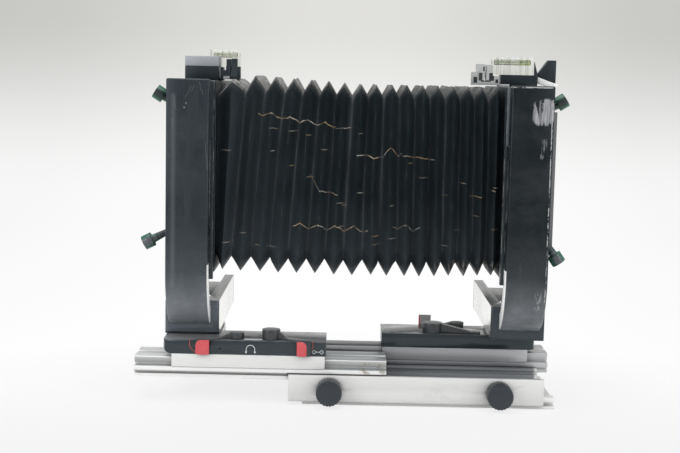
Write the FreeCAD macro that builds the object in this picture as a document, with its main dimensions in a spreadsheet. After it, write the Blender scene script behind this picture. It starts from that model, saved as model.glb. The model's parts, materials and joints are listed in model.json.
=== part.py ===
import FreeCAD, Part
import math
import os
import Sketcher

# View camera on a telescoping twin rail, millimetres.
# X runs along the rails, Y across them, Z up. Origin: mouth of the tripod socket.

os.makedirs("parts", exist_ok=True)
doc = FreeCAD.newDocument("view_camera")
sheet = doc.addObject("Spreadsheet::Sheet", "Sizes")
V = FreeCAD.Vector


class Val:
    """A number together with the spreadsheet expression that gives it."""

    def __init__(self, v, e):
        self.v = float(v)
        self.e = e

    def __add__(self, o):
        o = val(o)
        return Val(self.v + o.v, "(%s + %s)" % (self.e, o.e))

    __radd__ = __add__

    def __sub__(self, o):
        o = val(o)
        return Val(self.v - o.v, "(%s - %s)" % (self.e, o.e))

    def __rsub__(self, o):
        return val(o) - self

    def __mul__(self, o):
        o = val(o)
        return Val(self.v * o.v, "(%s * %s)" % (self.e, o.e))

    __rmul__ = __mul__

    def __truediv__(self, o):
        o = val(o)
        return Val(self.v / o.v, "(%s / %s)" % (self.e, o.e))

    def __neg__(self):
        return Val(-self.v, "(-1 * %s)" % self.e)


def val(x):
    if isinstance(x, Val):
        return x
    return Val(x, "(%.6f)" % x)


row = [0]


def size(name, value):
    row[0] += 1
    cell = "A%d" % row[0]
    sheet.set(cell, "%g" % value)
    sheet.setAlias(cell, name)
    return Val(value, "Sizes." + name)


# ---- sizes -------------------------------------------------------------
run = size("run_clearance", 0.05)
gap = size("free_gap", 0.4)
base_len = size("base_length", 236)
base_foot = size("base_foot_thick", 2.5)
lip_z = size("base_lip_underside", 6.0)
base_top = size("base_top", 10.5)
recess_z = size("base_recess_floor", 7.0)
socket_r = size("tripod_socket_radius", 3.97)
bush_r = size("bush_radius", 8)

house_x = size("housing_centre_x", -12)
house_len = size("housing_length", 238)
house_z = size("housing_bottom", 3.5)
web_low = size("web_underside", 16.95)
web_high = size("web_top", 18.25)
hook_top = size("hook_top", 28.5)
mid_top = hook_top

pitch = size("rail_half_pitch", 25)
flange_half = size("rail_flange_half", 21)
house_wall = size("housing_wall", 3.95)
house_half = pitch + flange_half + run + house_wall
flange_z = size("rail_bottom", 23.4)
flange_top = size("rail_flange_top", 26.6)
neck_half = size("rail_groove_half", 19)
base_wall = size("housing_wall_at_base", 6)
lip_half = house_half - base_wall
base_half = lip_half + 2
base_neck = lip_half - 6
recess_half = lip_half - 10
rail_lip_z = size("rail_lip_underside", 28.9)
rail_lip_top = size("rail_lip_top", 33.4)
rail_lip_half = size("rail_lip_half", 23)
dove_low = size("dovetail_low_half", 16.5)
dove_high = size("dovetail_high_half", 20)
dove_top = size("dovetail_top", 41)
rail_top = size("rail_top", 42.4)
slot_half = size("rail_slot_half", 4)
slot_z = size("rail_slot_floor", 38.4)
rail_len = size("rail_length", 235)
front_rail_x = size("front_rail_start", -275)
rear_rail_x = size("rear_rail_start", -117)

shaft_z = size("pinion_axis_height", 15.0)
shaft_r = size("pinion_shaft_radius", 1.9)
front_knob_x = house_x - house_len * 0.5 + size("front_knob_inset", 38)
rear_knob_x = house_x + house_len * 0.5 - size("rear_knob_inset", 42)
knob_r = size("knob_radius", 12)
knob_len = size("knob_length", 15)
flute_r = size("knob_flute_radius", 0.9)

clamp_half = size("clamp_half_width", 23.5)
clamp_z = size("clamp_bottom", 33.6)
car_z = size("carriage_bottom", 46)
car_top = size("carriage_top", 59.45)

swing_y = size("swing_axis_y", 9)
ear_near = size("ear_near_y", -21)
ear_far = size("ear_far_y", 35)
front_std = size("front_standard_x", -224)
rear_std = size("rear_standard_x", 84)
foot_half = size("foot_half_width", 25.7)
foot_z = size("foot_bottom", 59.5)
leg_z = size("leg_bottom", 62)
leg_top = size("leg_top", 92)
leg_half = foot_half - 0.2
tee_neck = size("foot_tee_neck_half", 12)
tee_half = size("foot_tee_half", 17)
nose_thick = size("leg_nose_thick", 2.6)
leg_near = ear_near - gap
ledge_y = size("leg_ledge_y", 89)
ledge_rim = size("leg_ledge_rim", 9.5)
ledge_drop = size("leg_ledge_drop", 12)
leg_far = size("leg_far_y", 134)
tongue_z = size("tongue_bottom", 64)
tongue_h = size("tongue_height", 2.8)

up_y = size("upright_outer_y", -56)
up_t = size("upright_thick", 15)
up_half = size("upright_half_width", 19.5)
up_off = size("upright_outward_shift", 2)
bar_low = size("slide_bar_low_z", 116)
head_r = size("green_head_radius", 6.7)
head_len = size("green_head_length", 9)
lever_mid = size("green_lever_mid", 4.9)
bend_r = size("bend_outer_radius", 60)
bend_sweep = 65
up_end = size("upright_end_over_leg_base", 6.6)
bend_z = leg_z + up_end + bend_r * math.sin(math.radians(bend_sweep))

front_fx = size("front_frame_x", -219.5)
rear_fx = size("rear_frame_x", 80.5)
frame_t = size("frame_half_depth", 16)
frame_half = size("frame_half_side", 88.5)
frame_gap = size("upright_to_frame_gap", 2.5)
frame_y = up_y + up_t + frame_gap + frame_half
frame_low = size("frame_over_leg", 29.5)
frame_z = leg_top + frame_low + frame_half
frame_rim = size("frame_rim_width", 13.5)
seat_step = size("board_seat_step", 5)
seat_half = frame_half - frame_rim
hole_half = seat_half - seat_step
seat_d = size("board_seat_depth", 4)
up_over = size("upright_over_frame", 1.5)
up_top = frame_z + frame_half + up_over
slide_h = size("slider_half_height", 35)
slide_wide = size("slider_wide_half", 14)
slide_thin = size("slider_narrow_half", 10)
pin_r = size("tilt_pin_radius", 4)

bel_half = frame_half - 0.5
pleat_d = size("bellows_pleat_depth", 12)
bel_in = bel_half - pleat_d
bel_t = size("bellows_end_thick", 1.5)
pleats = 18


# ---- helpers -----------------------------------------------------------
def place(obj, x, y, z, rot=None):
    obj.Placement = FreeCAD.Placement(V(0, 0, 0), rot or FreeCAD.Rotation())
    obj.setExpression("Placement.Base.x", val(x).e)
    obj.setExpression("Placement.Base.y", val(y).e)
    obj.setExpression("Placement.Base.z", val(z).e)


def box(name, x0, x1, y0, y1, z0, z1):
    b = doc.addObject("Part::Box", name)
    b.setExpression("Length", (val(x1) - x0).e)
    b.setExpression("Width", (val(y1) - y0).e)
    b.setExpression("Height", (val(z1) - z0).e)
    place(b, x0, y0, z0)
    return b


TURN = {
    "x": FreeCAD.Rotation(V(0, 1, 0), 90),
    "y": FreeCAD.Rotation(V(1, 0, 0), -90),
    "z": FreeCAD.Rotation(),
}


def cyl(name, axis, r, length, x, y, z):
    c = doc.addObject("Part::Cylinder", name)
    c.setExpression("Radius", val(r).e)
    c.setExpression("Height", val(length).e)
    place(c, x, y, z, TURN[axis])
    return c


def cut(name, base, tools):
    out = base
    for i, t in enumerate(tools):
        c = doc.addObject("Part::Cut", name if i == len(tools) - 1 else "%s_c%d" % (name, i))
        c.Base = out
        c.Tool = t
        out = c
    return out


def fuse(name, shapes):
    f = doc.addObject("Part::MultiFuse", name)
    f.Shapes = shapes
    f.Refine = True
    return f


def plane(body, role):
    return [f for f in body.Origin.OriginFeatures if f.Role == role + "_Plane"][0]


def sketch(body, name, role, pts):
    """Closed outline; every corner is held by two distances from the origin."""
    s = body.newObject("Sketcher::SketchObject", name)
    s.AttachmentSupport = [(plane(body, role), "")]
    s.MapMode = "FlatFace"
    p = [(val(a), val(b)) for a, b in pts]
    n = len(p)
    for i in range(n):
        a = p[i]
        b = p[(i + 1) % n]
        s.addGeometry(Part.LineSegment(V(a[0].v, a[1].v, 0), V(b[0].v, b[1].v, 0)), False)
    for i in range(n):
        s.addConstraint(Sketcher.Constraint("Coincident", i, 2, (i + 1) % n, 1))
    for i in range(n):
        for kind, q in (("DistanceX", p[i][0]), ("DistanceY", p[i][1])):
            k = s.addConstraint(Sketcher.Constraint(kind, -1, 1, i, 1, q.v))
            s.setExpression("Constraints[%d]" % k, q.e)
    return s


def pad(name, role, pts, start, end):
    """Outline padded from start to end along the normal of its plane."""
    b = doc.addObject("PartDesign::Body", name)
    s = sketch(b, name + "_outline", role, pts)
    f = b.newObject("PartDesign::Pad", name + "_pad")
    f.Profile = s
    f.setExpression("Length", (val(end) - start).e)
    if role == "XZ":
        place(b, 0, end, 0)
    elif role == "YZ":
        place(b, start, 0, 0)
    else:
        place(b, 0, 0, start)
    s.Visibility = False
    return b


nodes = []


def keep(name, obj):
    obj.Label = name
    nodes.append((name, obj))
    return obj


# ---- base --------------------------------------------------------------
prof = [
    (-base_half, 0), (base_half, 0), (base_half, base_foot), (base_neck, base_foot),
    (base_neck, lip_z), (lip_half, lip_z), (lip_half, base_top), (recess_half, base_top),
    (recess_half, recess_z), (-recess_half, recess_z), (-recess_half, base_top),
    (-lip_half, base_top), (-lip_half, lip_z), (-base_neck, lip_z), (-base_neck, base_foot),
    (-base_half, base_foot),
]
rail0 = pad("base_profile", "YZ", prof, -base_len / 2, base_len / 2)
seat0 = cyl("bush_seat", "z", bush_r, 20, 0, 0, -5)
keep("base_rail", cut("base_rail_body", rail0, [seat0]))
bush0 = cyl("bush_outer", "z", bush_r, recess_z, 0, 0, 0)
bush1 = cyl("bush_bore", "z", socket_r, 20, 0, 0, -5)
keep("tripod_bush", cut("bush_body", bush0, [bush1]))
# ---- sliding housing ---------------------------------------------------
wall_in = lip_half + run
ledge_in = base_neck + gap
chan_out = pitch + flange_half + run
chan_in = pitch - flange_half - run
ledge_z = flange_z - run
hook_z = flange_top + run
hook_out = pitch + neck_half + gap
hook_in = pitch - neck_half - gap
low_hook = lip_z - run
low_in = base_top + run
right = [
    (ledge_in, house_z), (house_half, house_z), (house_half, hook_top), (hook_out, hook_top),
    (hook_out, hook_z), (chan_out, hook_z), (chan_out, ledge_z), (chan_out - 4, ledge_z),
    (chan_out - 4, web_high), (chan_in + 4, web_high), (chan_in + 4, ledge_z), (chan_in, ledge_z),
    (chan_in, hook_z), (hook_in, hook_z), (hook_in, mid_top),
]
inner = [
    (ledge_in, web_low), (ledge_in, low_in), (wall_in, low_in), (wall_in, low_hook), (ledge_in, low_hook),
]
prof = right + [(-a, b) for a, b in reversed(right)]
prof = prof + [(-a, b) for a, b in reversed(inner)] + inner
house0 = pad("housing_profile", "YZ", prof, house_x - house_len / 2, house_x + house_len / 2)
tools = []
for k, kx, sy in (("front", front_knob_x, -1), ("rear", rear_knob_x, 1)):
    y = sy * pitch
    tools.append(cyl(k + "_shaft_hole", "y", shaft_r + run, house_half * 2 - 10, kx, -house_half - 5,
                     shaft_z))
    tools.append(box(k + "_pinion_slot", kx - 6.5, kx + 6.5, y - 5.5, y + 5.5, shaft_z, flange_z))
lock_z = size("base_lock_axis_z", 8.6)
lock_x = size("base_lock_axis_x", -12)
tools.append(cyl("lock_hole", "y", 2 + run, 14, lock_x, lip_half - 2, lock_z))
keep("track_housing", cut("housing_body", house0, tools))


def knob(name, x, y, z, r, length, flutes, axis_turn):
    """Fluted round knob: a padded disc with one flute patterned about its axis."""
    b = doc.addObject("PartDesign::Body", name + "_knob")
    s = b.newObject("Sketcher::SketchObject", name + "_disc")
    s.AttachmentSupport = [(plane(b, "XZ"), "")]
    s.MapMode = "FlatFace"
    s.addGeometry(Part.Circle(V(0, 0, 0), V(0, 0, 1), r.v), False)
    s.addConstraint(Sketcher.Constraint("Coincident", 0, 3, -1, 1))
    k = s.addConstraint(Sketcher.Constraint("Radius", 0, r.v))
    s.setExpression("Constraints[%d]" % k, r.e)
    f = b.newObject("PartDesign::Pad", name + "_pad")
    f.Profile = s
    f.setExpression("Length", length.e)
    g = b.newObject("Sketcher::SketchObject", name + "_flute")
    g.AttachmentSupport = [(plane(b, "XZ"), "")]
    g.MapMode = "FlatFace"
    g.addGeometry(Part.Circle(V(0, r.v + 0.35, 0), V(0, 0, 1), flute_r.v), False)
    g.addConstraint(Sketcher.Constraint("PointOnObject", 0, 3, -2))
    k = g.addConstraint(Sketcher.Constraint("DistanceY", -1, 1, 0, 3, r.v + 0.35))
    g.setExpression("Constraints[%d]" % k, (r + 0.35).e)
    k = g.addConstraint(Sketcher.Constraint("Radius", 0, flute_r.v))
    g.setExpression("Constraints[%d]" % k, flute_r.e)
    p = b.newObject("PartDesign::Pocket", name + "_flute_cut")
    p.Profile = g
    p.Type = 1
    p.Reversed = True
    doc.recompute()
    if abs(p.Shape.Volume - f.Shape.Volume) < 0.01:
        p.Reversed = False
    b.Tip = p
    q = b.newObject("PartDesign::PolarPattern", name + "_flutes")
    q.Originals = [p]
    q.Axis = (g, ["N_Axis"])
    q.Angle = 360
    q.Occurrences = flutes
    b.Tip = q
    doc.recompute()
    place(b, x, y, z, axis_turn)
    return b


def gear_points(module, teeth):
    """Outline of a small spur gear with straight-flanked teeth."""
    rp = module * teeth / 2
    ro = rp + module * 0.85
    rr = rp - module * 1.15
    out = []
    for i in range(int(teeth)):
        a = 2 * math.pi * i / teeth
        w = math.pi / teeth
        for r, d in ((rr, -0.68), (rp, -0.46), (ro, -0.2), (ro, 0.2), (rp, 0.46), (rr, 0.68)):
            out.append((r * math.sin(a + d * w), r * math.cos(a + d * w)))
    return out


module = size("pinion_module", 0.8)
teeth = 11
for k, kx, sy in (("front", front_knob_x, -1), ("rear", rear_knob_x, 1)):
    keep(k + "_focus_knob", knob(k, kx, -house_half - 1, shaft_z, knob_r, knob_len, 24, None))
    gp = gear_points(module.v, teeth)
    pts = [V(a, -4, b) for a, b in gp]
    gear = Part.Face(Part.makePolygon(pts + [pts[0]])).extrude(V(0, 8, 0))
    gear.translate(V(kx.v, sy * pitch.v, shaft_z.v))
    y0 = -house_half.v - 1
    y1 = sy * pitch.v + 6
    shaft = Part.makeCylinder(shaft_r.v, y1 - y0, V(kx.v, y0, shaft_z.v), V(0, 1, 0))
    f = doc.addObject("Part::Feature", k + "_pinion_shape")
    f.Shape = gear.fuse(shaft)
    keep(k + "_pinion", f)

lock_screw = cyl("lock_screw", "y", 2, house_half + 1 - lip_half - 0.1, lock_x, lip_half + 0.1, lock_z)
lock_disc = cyl("lock_disc", "y", 7.5, 11, lock_x, house_half + 1, lock_z)
lock_wing = box("lock_wing", lock_x - 1.5, lock_x + 1.5, house_half + 12, house_half + 19,
                lock_z - 6, lock_z + 6)
keep("base_lock_knob", fuse("lock_body", [lock_screw, lock_disc, lock_wing]))


# ---- rails, racks, clamps and carriages --------------------------------
def rack_shape(x0, count, y, pitch_z, body_top):
    """Straight rack, teeth down; pitch line at pitch_z."""
    step = math.pi * module.v
    low = pitch_z - 0.8 * module.v
    high = pitch_z + 1.0 * module.v
    p = [(x0, body_top), (x0, high)]
    for i in range(count):
        c = x0 + (i + 0.5) * step
        p += [(c - 0.38 * step, high), (c - 0.11 * step, low), (c + 0.11 * step, low), (c + 0.38 * step, high)]
    p += [(x0 + count * step, high), (x0 + count * step, body_top)]
    pts = [V(a, y - 4, b) for a, b in p]
    return Part.Face(Part.makePolygon(pts + [pts[0]])).extrude(V(0, 8, 0))


def sloped_arm(name, outline, hx, side, tall, fall):
    """Lever arm: a plan outline whose top slopes from the hub down to its thin end."""
    block = pad(name + "_arm_plan", "XY", outline, arm_z, arm_z + tall)
    side_view = [(hx - side * 6, arm_z), (hx - side * 6, arm_z + tall), (hx + side * 5, arm_z + tall),
                 (hx + side * fall, arm_top), (hx + side * 60, arm_top), (hx + side * 60, arm_z)]
    slope = pad(name + "_arm_side", "XZ", side_view, -60, 60)
    both = doc.addObject("Part::Common", name + "_arm")
    both.Base = block
    both.Tool = slope
    doc.recompute()
    return both


carriage_x = {"front": (-248, -96.5), "rear": (-43.5, 105)}
clamp_x = {"front": (-240, -97.5), "rear": (-42.5, 98)}
rack_x = {"front": (-175, -46), "rear": (-55, 114)}
# each lever: tag, axis x, axis distance from the middle, side its arm points to, hub radius,
# hub height, and how far its finger tip rises above the arm
lever_at = {
    "front": (("a", -180, 39, -1, 7, 6, 0), ("b", -148, 39, 1, 8.5, 9.5, 0)),
    "rear": (("a", 32, 39, -1, 7, 5, 7.5),),
}
bar_lever_x = size("rear_lever_b_axis_x", 6)
bar_lever_y = size("rear_lever_b_axis_y", 11.3)
arm_z = size("lever_underside", 59.6)
arm_top = size("lever_top", 61.4)
reach = size("lever_reach", 31)

for k, sy, rx, kx in (("front", -1, front_rail_x, front_knob_x), ("rear", 1, rear_rail_x, rear_knob_x)):
    c = sy * pitch
    half = [
        (flange_half, flange_z), (flange_half, flange_top), (neck_half, flange_top),
        (neck_half, rail_lip_z), (rail_lip_half, rail_lip_z), (rail_lip_half, rail_lip_top),
        (dove_low, rail_lip_top), (dove_high, dove_top), (dove_high, rail_top),
        (slot_half, rail_top), (slot_half, slot_z),
    ]
    prof = [(c + a, b) for a, b in half] + [(c - a, b) for a, b in reversed(half)]
    keep(k + "_rail", pad(k + "_rail_body", "YZ", prof, rx, rx + rail_len))
    x0, x1 = rack_x[k]
    phase = (shaft_z.v + module.v * teeth / 2)
    step = math.pi * module.v
    start = kx.v + step * round((x0 - kx.v) / step)
    f = doc.addObject("Part::Feature", k + "_rack_shape")
    count = int((x1 - start) / step)
    f.Shape = rack_shape(start, count, c.v, phase, flange_z.v)
    keep(k + "_rack", f)
    a = size(k + "_clamp_start", clamp_x[k][0])
    b = size(k + "_clamp_end", clamp_x[k][1])
    half = [(clamp_half, clamp_z), (clamp_half, car_z)]
    lean = (dove_high - dove_low) * (clamp_z - rail_lip_top) / (dove_top - rail_lip_top)
    inside = [(dove_low + lean, clamp_z), (dove_high, dove_top), (dove_high, rail_top)]
    prof = [(c + p, q) for p, q in half] + [(c - p, q) for p, q in reversed(half)]
    prof += [(c - p, q) for p, q in inside] + [(c + p, q) for p, q in reversed(inside)]
    keep(k + "_rail_clamp", pad(k + "_clamp_body", "YZ", prof, a, b))
    a = size(k + "_carriage_start", carriage_x[k][0])
    b = size(k + "_carriage_end", carriage_x[k][1])
    sx = front_std if k == "front" else rear_std
    e1 = sx + foot_half + 1
    near = c - clamp_half
    far = c + clamp_half
    if k == "front":
        prof = [(a, near + 5), (a + 1.4, near + 1.6), (a + 5, near), (b, near), (b, far), (e1, far),
                (e1, ear_far), (a, ear_far)]
    else:
        prof = [(a, near), (b - 5, near), (b - 1.4, near + 1.6), (b, near + 5), (b, far), (a, far)]
    body = pad(k + "_carriage_pad", "XY", prof, car_z, car_top)
    tools = [cyl(k + "_swing_hole", "z", 4.5 + run, 20, sx, swing_y, car_z - 3)]
    if k == "front":
        nick = [(a - 1, car_z - 1), (a + 6, car_z - 1), (a + 6, car_z), (a + 2, car_z + 2), (a, car_z + 5),
                (a - 1, car_z + 5)]
        tools.append(pad("front_carriage_nick", "XZ", nick, near - 1, far + 60))
    for tag, hx, hy, d, hub_r, tall, rise in lever_at[k]:
        tools.append(cyl("%s_lever_hole_%s" % (k, tag), "z", 2 + run, 10, hx, sy * hy, car_top - 6))
    if k == "rear":
        tools.append(cyl("rear_lever_hole_b", "z", 2 + run, 10, bar_lever_x, bar_lever_y, car_top - 6))
    screw = a + 53 if k == "front" else b - 31
    tools.append(cyl(k + "_screw_hole", "y", 1.6, 4, screw, near - 2 if k == "front" else far - 2, car_z + 5))
    keep(k + "_carriage", cut(k + "_carriage_body", body, tools))
    for tag, hx, hy, d, hub_r, tall, rise in lever_at[k]:
        nm = "%s_lever_%s" % (k, tag)
        hx = size(nm + "_axis_x", hx)
        hy = sy * size(nm + "_axis_y", hy)
        face = c + sy * clamp_half
        t0 = face + sy * 0.5
        t1 = face + sy * 4.0
        prof = [(hx, hy + sy * 5), (hx, hy - sy * 4), (hx + d * 12, hy - sy * 3), (hx + d * reach, face - sy * 3),
                (hx + d * (reach + 6), face), (hx + d * (reach + 6), t1), (hx + d * (reach - 6), t1),
                (hx + d * 10, hy + sy * 4.5)]
        arm = sloped_arm(nm, prof, hx, d, tall, 16)
        hub = cyl(nm + "_hub", "z", hub_r, tall, hx, hy, arm_z)
        pin = cyl(nm + "_pin", "z", 2, arm_z + 1 - car_top + 5, hx, hy, car_top - 5)
        u = sorted([(hx + d * (reach - 6)).v, (hx + d * (reach + 6)).v])
        ua = (hx + d * (reach - 6)) if u[0] == (hx + d * (reach - 6)).v else (hx + d * (reach + 6))
        ub = (hx + d * (reach + 6)) if u[0] == (hx + d * (reach - 6)).v else (hx + d * (reach - 6))
        ta = t1 if sy < 0 else t0
        tb = t0 if sy < 0 else t1
        tip = box(nm + "_tip", ua, ub, ta, tb, car_z + 0.6, arm_top + rise)
        keep(nm, fuse(nm + "_body", [arm, hub, pin, tip]))

hx = bar_lever_x
hy = bar_lever_y
plan_pts = [(hx, hy - 4.2), (hx + 44, hy - 6.5), (hx + 46.5, hy - 4.5), (hx + 46.5, hy + 1.5), (hx + 43, hy + 3),
            (hx, hy + 4.2)]
arm = sloped_arm("rear_lever_b", plan_pts, hx, 1, 9.5, 38)
hub = cyl("rear_lever_b_hub", "z", 9.5, 9.5, hx, hy, arm_z)
pin = cyl("rear_lever_b_pin", "z", 2, arm_z + 1 - car_top + 5, hx, hy, car_top - 5)
keep("rear_lever_b", fuse("rear_lever_b_body", [arm, hub, pin]))


# ---- standards ---------------------------------------------------------
def mirror_pts(c, half):
    return [(c + a, b) for a, b in half] + [(c - a, b) for a, b in reversed(half)]


for k, out, sx, fx in (("front", -1, front_std, front_fx), ("rear", 1, rear_std, rear_fx)):
    # turntable foot: a plate with a tee rail that the cross leg rides on
    half = [
        (foot_half, foot_z), (foot_half, leg_z - run), (tee_neck, leg_z - run), (tee_neck, tongue_z),
        (tee_half, tongue_z), (tee_half, tongue_z + tongue_h),
    ]
    body = pad(k + "_foot_pad", "XZ", mirror_pts(sx, half), ear_near, ear_far)
    pin = cyl(k + "_swing_pin", "z", 4.5, leg_z - run - car_z - 1, sx, swing_y, car_z + 1)
    keep(k + "_turntable", fuse(k + "_foot_body", [body, pin]))
    # cross leg: a bar with a tee slot below, and a lowered seat at its far end
    slot_low = tongue_z - run
    slot_top = tongue_z + tongue_h + run
    half = [
        (tee_neck + run, leg_z), (tee_neck + run, slot_low), (tee_half + run, slot_low), (tee_half + run, slot_top),
    ]
    prof = [(sx - leg_half, leg_z)] + [(sx - p, q) for p, q in half] + [(sx + p, q) for p, q in reversed(half)]
    prof += [(sx + leg_half, leg_z), (sx + leg_half, leg_top), (sx - leg_half, leg_top)]
    body = pad(k + "_leg_pad", "XZ", prof, leg_near, leg_far)
    ledge_in = sx - out * (leg_half - ledge_rim)
    ledge_out = sx + out * (leg_half + 1)
    ledge_lo = ledge_in if out > 0 else ledge_out
    ledge_hi = ledge_out if out > 0 else ledge_in
    ledge = box(k + "_leg_ledge", ledge_lo, ledge_hi, ledge_y, leg_far + 4, leg_top - ledge_drop, leg_top + 1)
    leg_body = body
    ang = math.radians(bend_sweep)
    ca = math.cos(ang)
    sa = math.sin(ang)
    by = up_y + bend_r
    in_r = bend_r - up_t
    # upright: flat plate whose lower end curves in to the leg
    b = doc.addObject("PartDesign::Body", k + "_upright_pad_body")
    s = b.newObject("Sketcher::SketchObject", k + "_upright_outline")
    s.AttachmentSupport = [(plane(b, "YZ"), "")]
    s.MapMode = "FlatFace"
    yo = up_y.v
    yi = (up_y + up_t).v
    cy = by.v
    cz = bend_z.v
    ro = bend_r.v
    ri = in_r.v
    pa = V(yo, up_top.v, 0)
    pb = V(yo, cz, 0)
    pc = V(cy - ro * ca, cz - ro * sa, 0)
    pd = V(cy - ri * ca, cz - ri * sa, 0)
    pe = V(yi, cz, 0)
    pf = V(yi, up_top.v, 0)
    mid = V(cy, cz, 0)
    s.addGeometry(Part.LineSegment(pa, pb), False)
    s.addGeometry(Part.ArcOfCircle(Part.Circle(mid, V(0, 0, 1), ro), math.pi, math.pi + ang), False)
    s.addGeometry(Part.LineSegment(pc, pd), False)
    s.addGeometry(Part.ArcOfCircle(Part.Circle(mid, V(0, 0, 1), ri), math.pi, math.pi + ang), False)
    s.addGeometry(Part.LineSegment(pe, pf), False)
    s.addGeometry(Part.LineSegment(pf, pa), False)
    ends = [(1, 2), (1, 2), (1, 2), (2, 1), (1, 2), (1, 2)]
    for i in range(6):
        j = (i + 1) % 6
        s.addConstraint(Sketcher.Constraint("Coincident", i, ends[i][1], j, ends[j][0]))

    def hold(geo, pos, px, py):
        for kind, q in (("DistanceX", px), ("DistanceY", py)):
            n = s.addConstraint(Sketcher.Constraint(kind, -1, 1, geo, pos, q.v))
            s.setExpression("Constraints[%d]" % n, q.e)

    hold(0, ends[0][0], up_y, up_top)
    hold(5, ends[5][0], up_y + up_t, up_top)
    hold(0, ends[0][1], up_y, bend_z)
    hold(4, ends[4][0], up_y + up_t, bend_z)
    hold(2, ends[2][0], by - bend_r * ca, bend_z - bend_r * sa)
    hold(2, ends[2][1], by - in_r * ca, bend_z - in_r * sa)
    n = s.addConstraint(Sketcher.Constraint("Radius", 1, ro))
    s.setExpression("Constraints[%d]" % n, bend_r.e)
    n = s.addConstraint(Sketcher.Constraint("Radius", 3, ri))
    s.setExpression("Constraints[%d]" % n, in_r.e)
    f = b.newObject("PartDesign::Pad", k + "_upright_pad")
    f.Profile = s
    f.setExpression("Length", (up_half * 2).e)
    place(b, sx + out * up_off - up_half, 0, 0)
    screw = cyl(k + "_leg_screw_hole", "z", 3, 4, sx - out * 12, leg_near + 26, leg_top - 3)
    keep(k + "_leg", cut(k + "_leg_body", leg_body, [b, screw, ledge]))
    cap = box(k + "_leg_cap_box", sx - leg_half, sx + leg_half, leg_far, leg_far + 3, leg_z, leg_top)
    keep(k + "_leg_cap", cut(k + "_leg_cap_body", cap, [ledge]))
    half = [(leg_half, leg_near), (leg_half, leg_near - nose_thick * 0.3), (leg_half - 1, leg_near - nose_thick * 0.75),
            (leg_half - 3, leg_near - nose_thick)]
    nose = pad(k + "_leg_nose_plan", "XY", mirror_pts(sx, half), leg_z - 0.2, leg_top)
    keep(k + "_leg_nose", cut(k + "_leg_nose_body", nose, [b]))
    inner_y = up_y + up_t
    way_x = fx
    t_low = box(k + "_way_deep", way_x - slide_wide - run, way_x + slide_wide + run, inner_y - 8,
                inner_y - 4.5, frame_z - slide_h - 16, up_top + 5)
    t_high = box(k + "_way_mouth", way_x - slide_thin - run, way_x + slide_thin + run, inner_y - 4.6,
                 inner_y + 1, frame_z - slide_h - 16, up_top + 5)
    keep(k + "_upright", cut(k + "_upright_body", b, [t_low, t_high]))
    # rise slider: tee block in the upright's way, carrying the tilt pin
    d0 = inner_y - 8 + run
    d1 = inner_y - 4.5 - run
    d2 = inner_y + 0.5
    half = [(slide_wide, d0), (slide_wide, d1), (slide_thin, d1), (slide_thin, d2)]
    tee = pad(k + "_slider_tee", "XY", mirror_pts(fx, half), frame_z - slide_h, frame_z + slide_h)
    near_face = frame_y - frame_half
    boss = cyl(k + "_tilt_boss", "y", 14, near_face - run - d2 + 0.2, fx, d2 - 0.2, frame_z)
    pin = cyl(k + "_tilt_pin", "y", pin_r, near_face + 9 - d2, fx, d2 - 0.2, frame_z)
    edge = sx + out * (up_off - up_half)
    strip_a = edge - out * run
    strip_b = edge - out * (run + 3.6)
    strip_lo = strip_b if out > 0 else strip_a
    strip_hi = strip_a if out > 0 else strip_b
    strip = box(k + "_slide_bar", strip_lo, strip_hi, inner_y - 4, inner_y + 2, bar_low, frame_z + slide_h)
    arm_lo = strip_lo if out > 0 else fx - slide_thin
    arm_hi = fx + slide_thin if out > 0 else strip_hi
    link = box(k + "_slide_link", arm_lo, arm_hi, inner_y + run, inner_y + 2, frame_z - slide_h,
               frame_z + slide_h)
    keep(k + "_slider", fuse(k + "_slider_body", [tee, boss, pin, strip, link]))
    # square frame with a seat recess on its outer face
    fo = fx + out * frame_t
    fi = fx - out * frame_t
    y0 = frame_y - frame_half
    y1 = frame_y + frame_half
    z0 = frame_z - frame_half
    z1 = frame_z + frame_half
    lo = fo if out < 0 else fi
    hi = fi if out < 0 else fo
    body = pad(k + "_frame_pad", "YZ", [(y0, z0), (y1, z0), (y1, z1), (y0, z1)], lo, hi)
    hole = box(k + "_frame_hole", lo - 1, hi + 1, frame_y - hole_half, frame_y + hole_half,
               frame_z - hole_half, frame_z + hole_half)
    if out < 0:
        seat = box(k + "_frame_seat", lo - 1, lo + seat_d, frame_y - seat_half, frame_y + seat_half,
                   frame_z - seat_half, frame_z + seat_half)
    else:
        seat = box(k + "_frame_seat", hi - seat_d, hi + 1, frame_y - seat_half, frame_y + seat_half,
                   frame_z - seat_half, frame_z + seat_half)
    pinh = cyl(k + "_tilt_hole", "y", pin_r + run, 12, fx, y0 - 2, frame_z)
    ring_cut = cut(k + "_frame_cut", body, [hole, seat, pinh])
    ears = []
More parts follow.
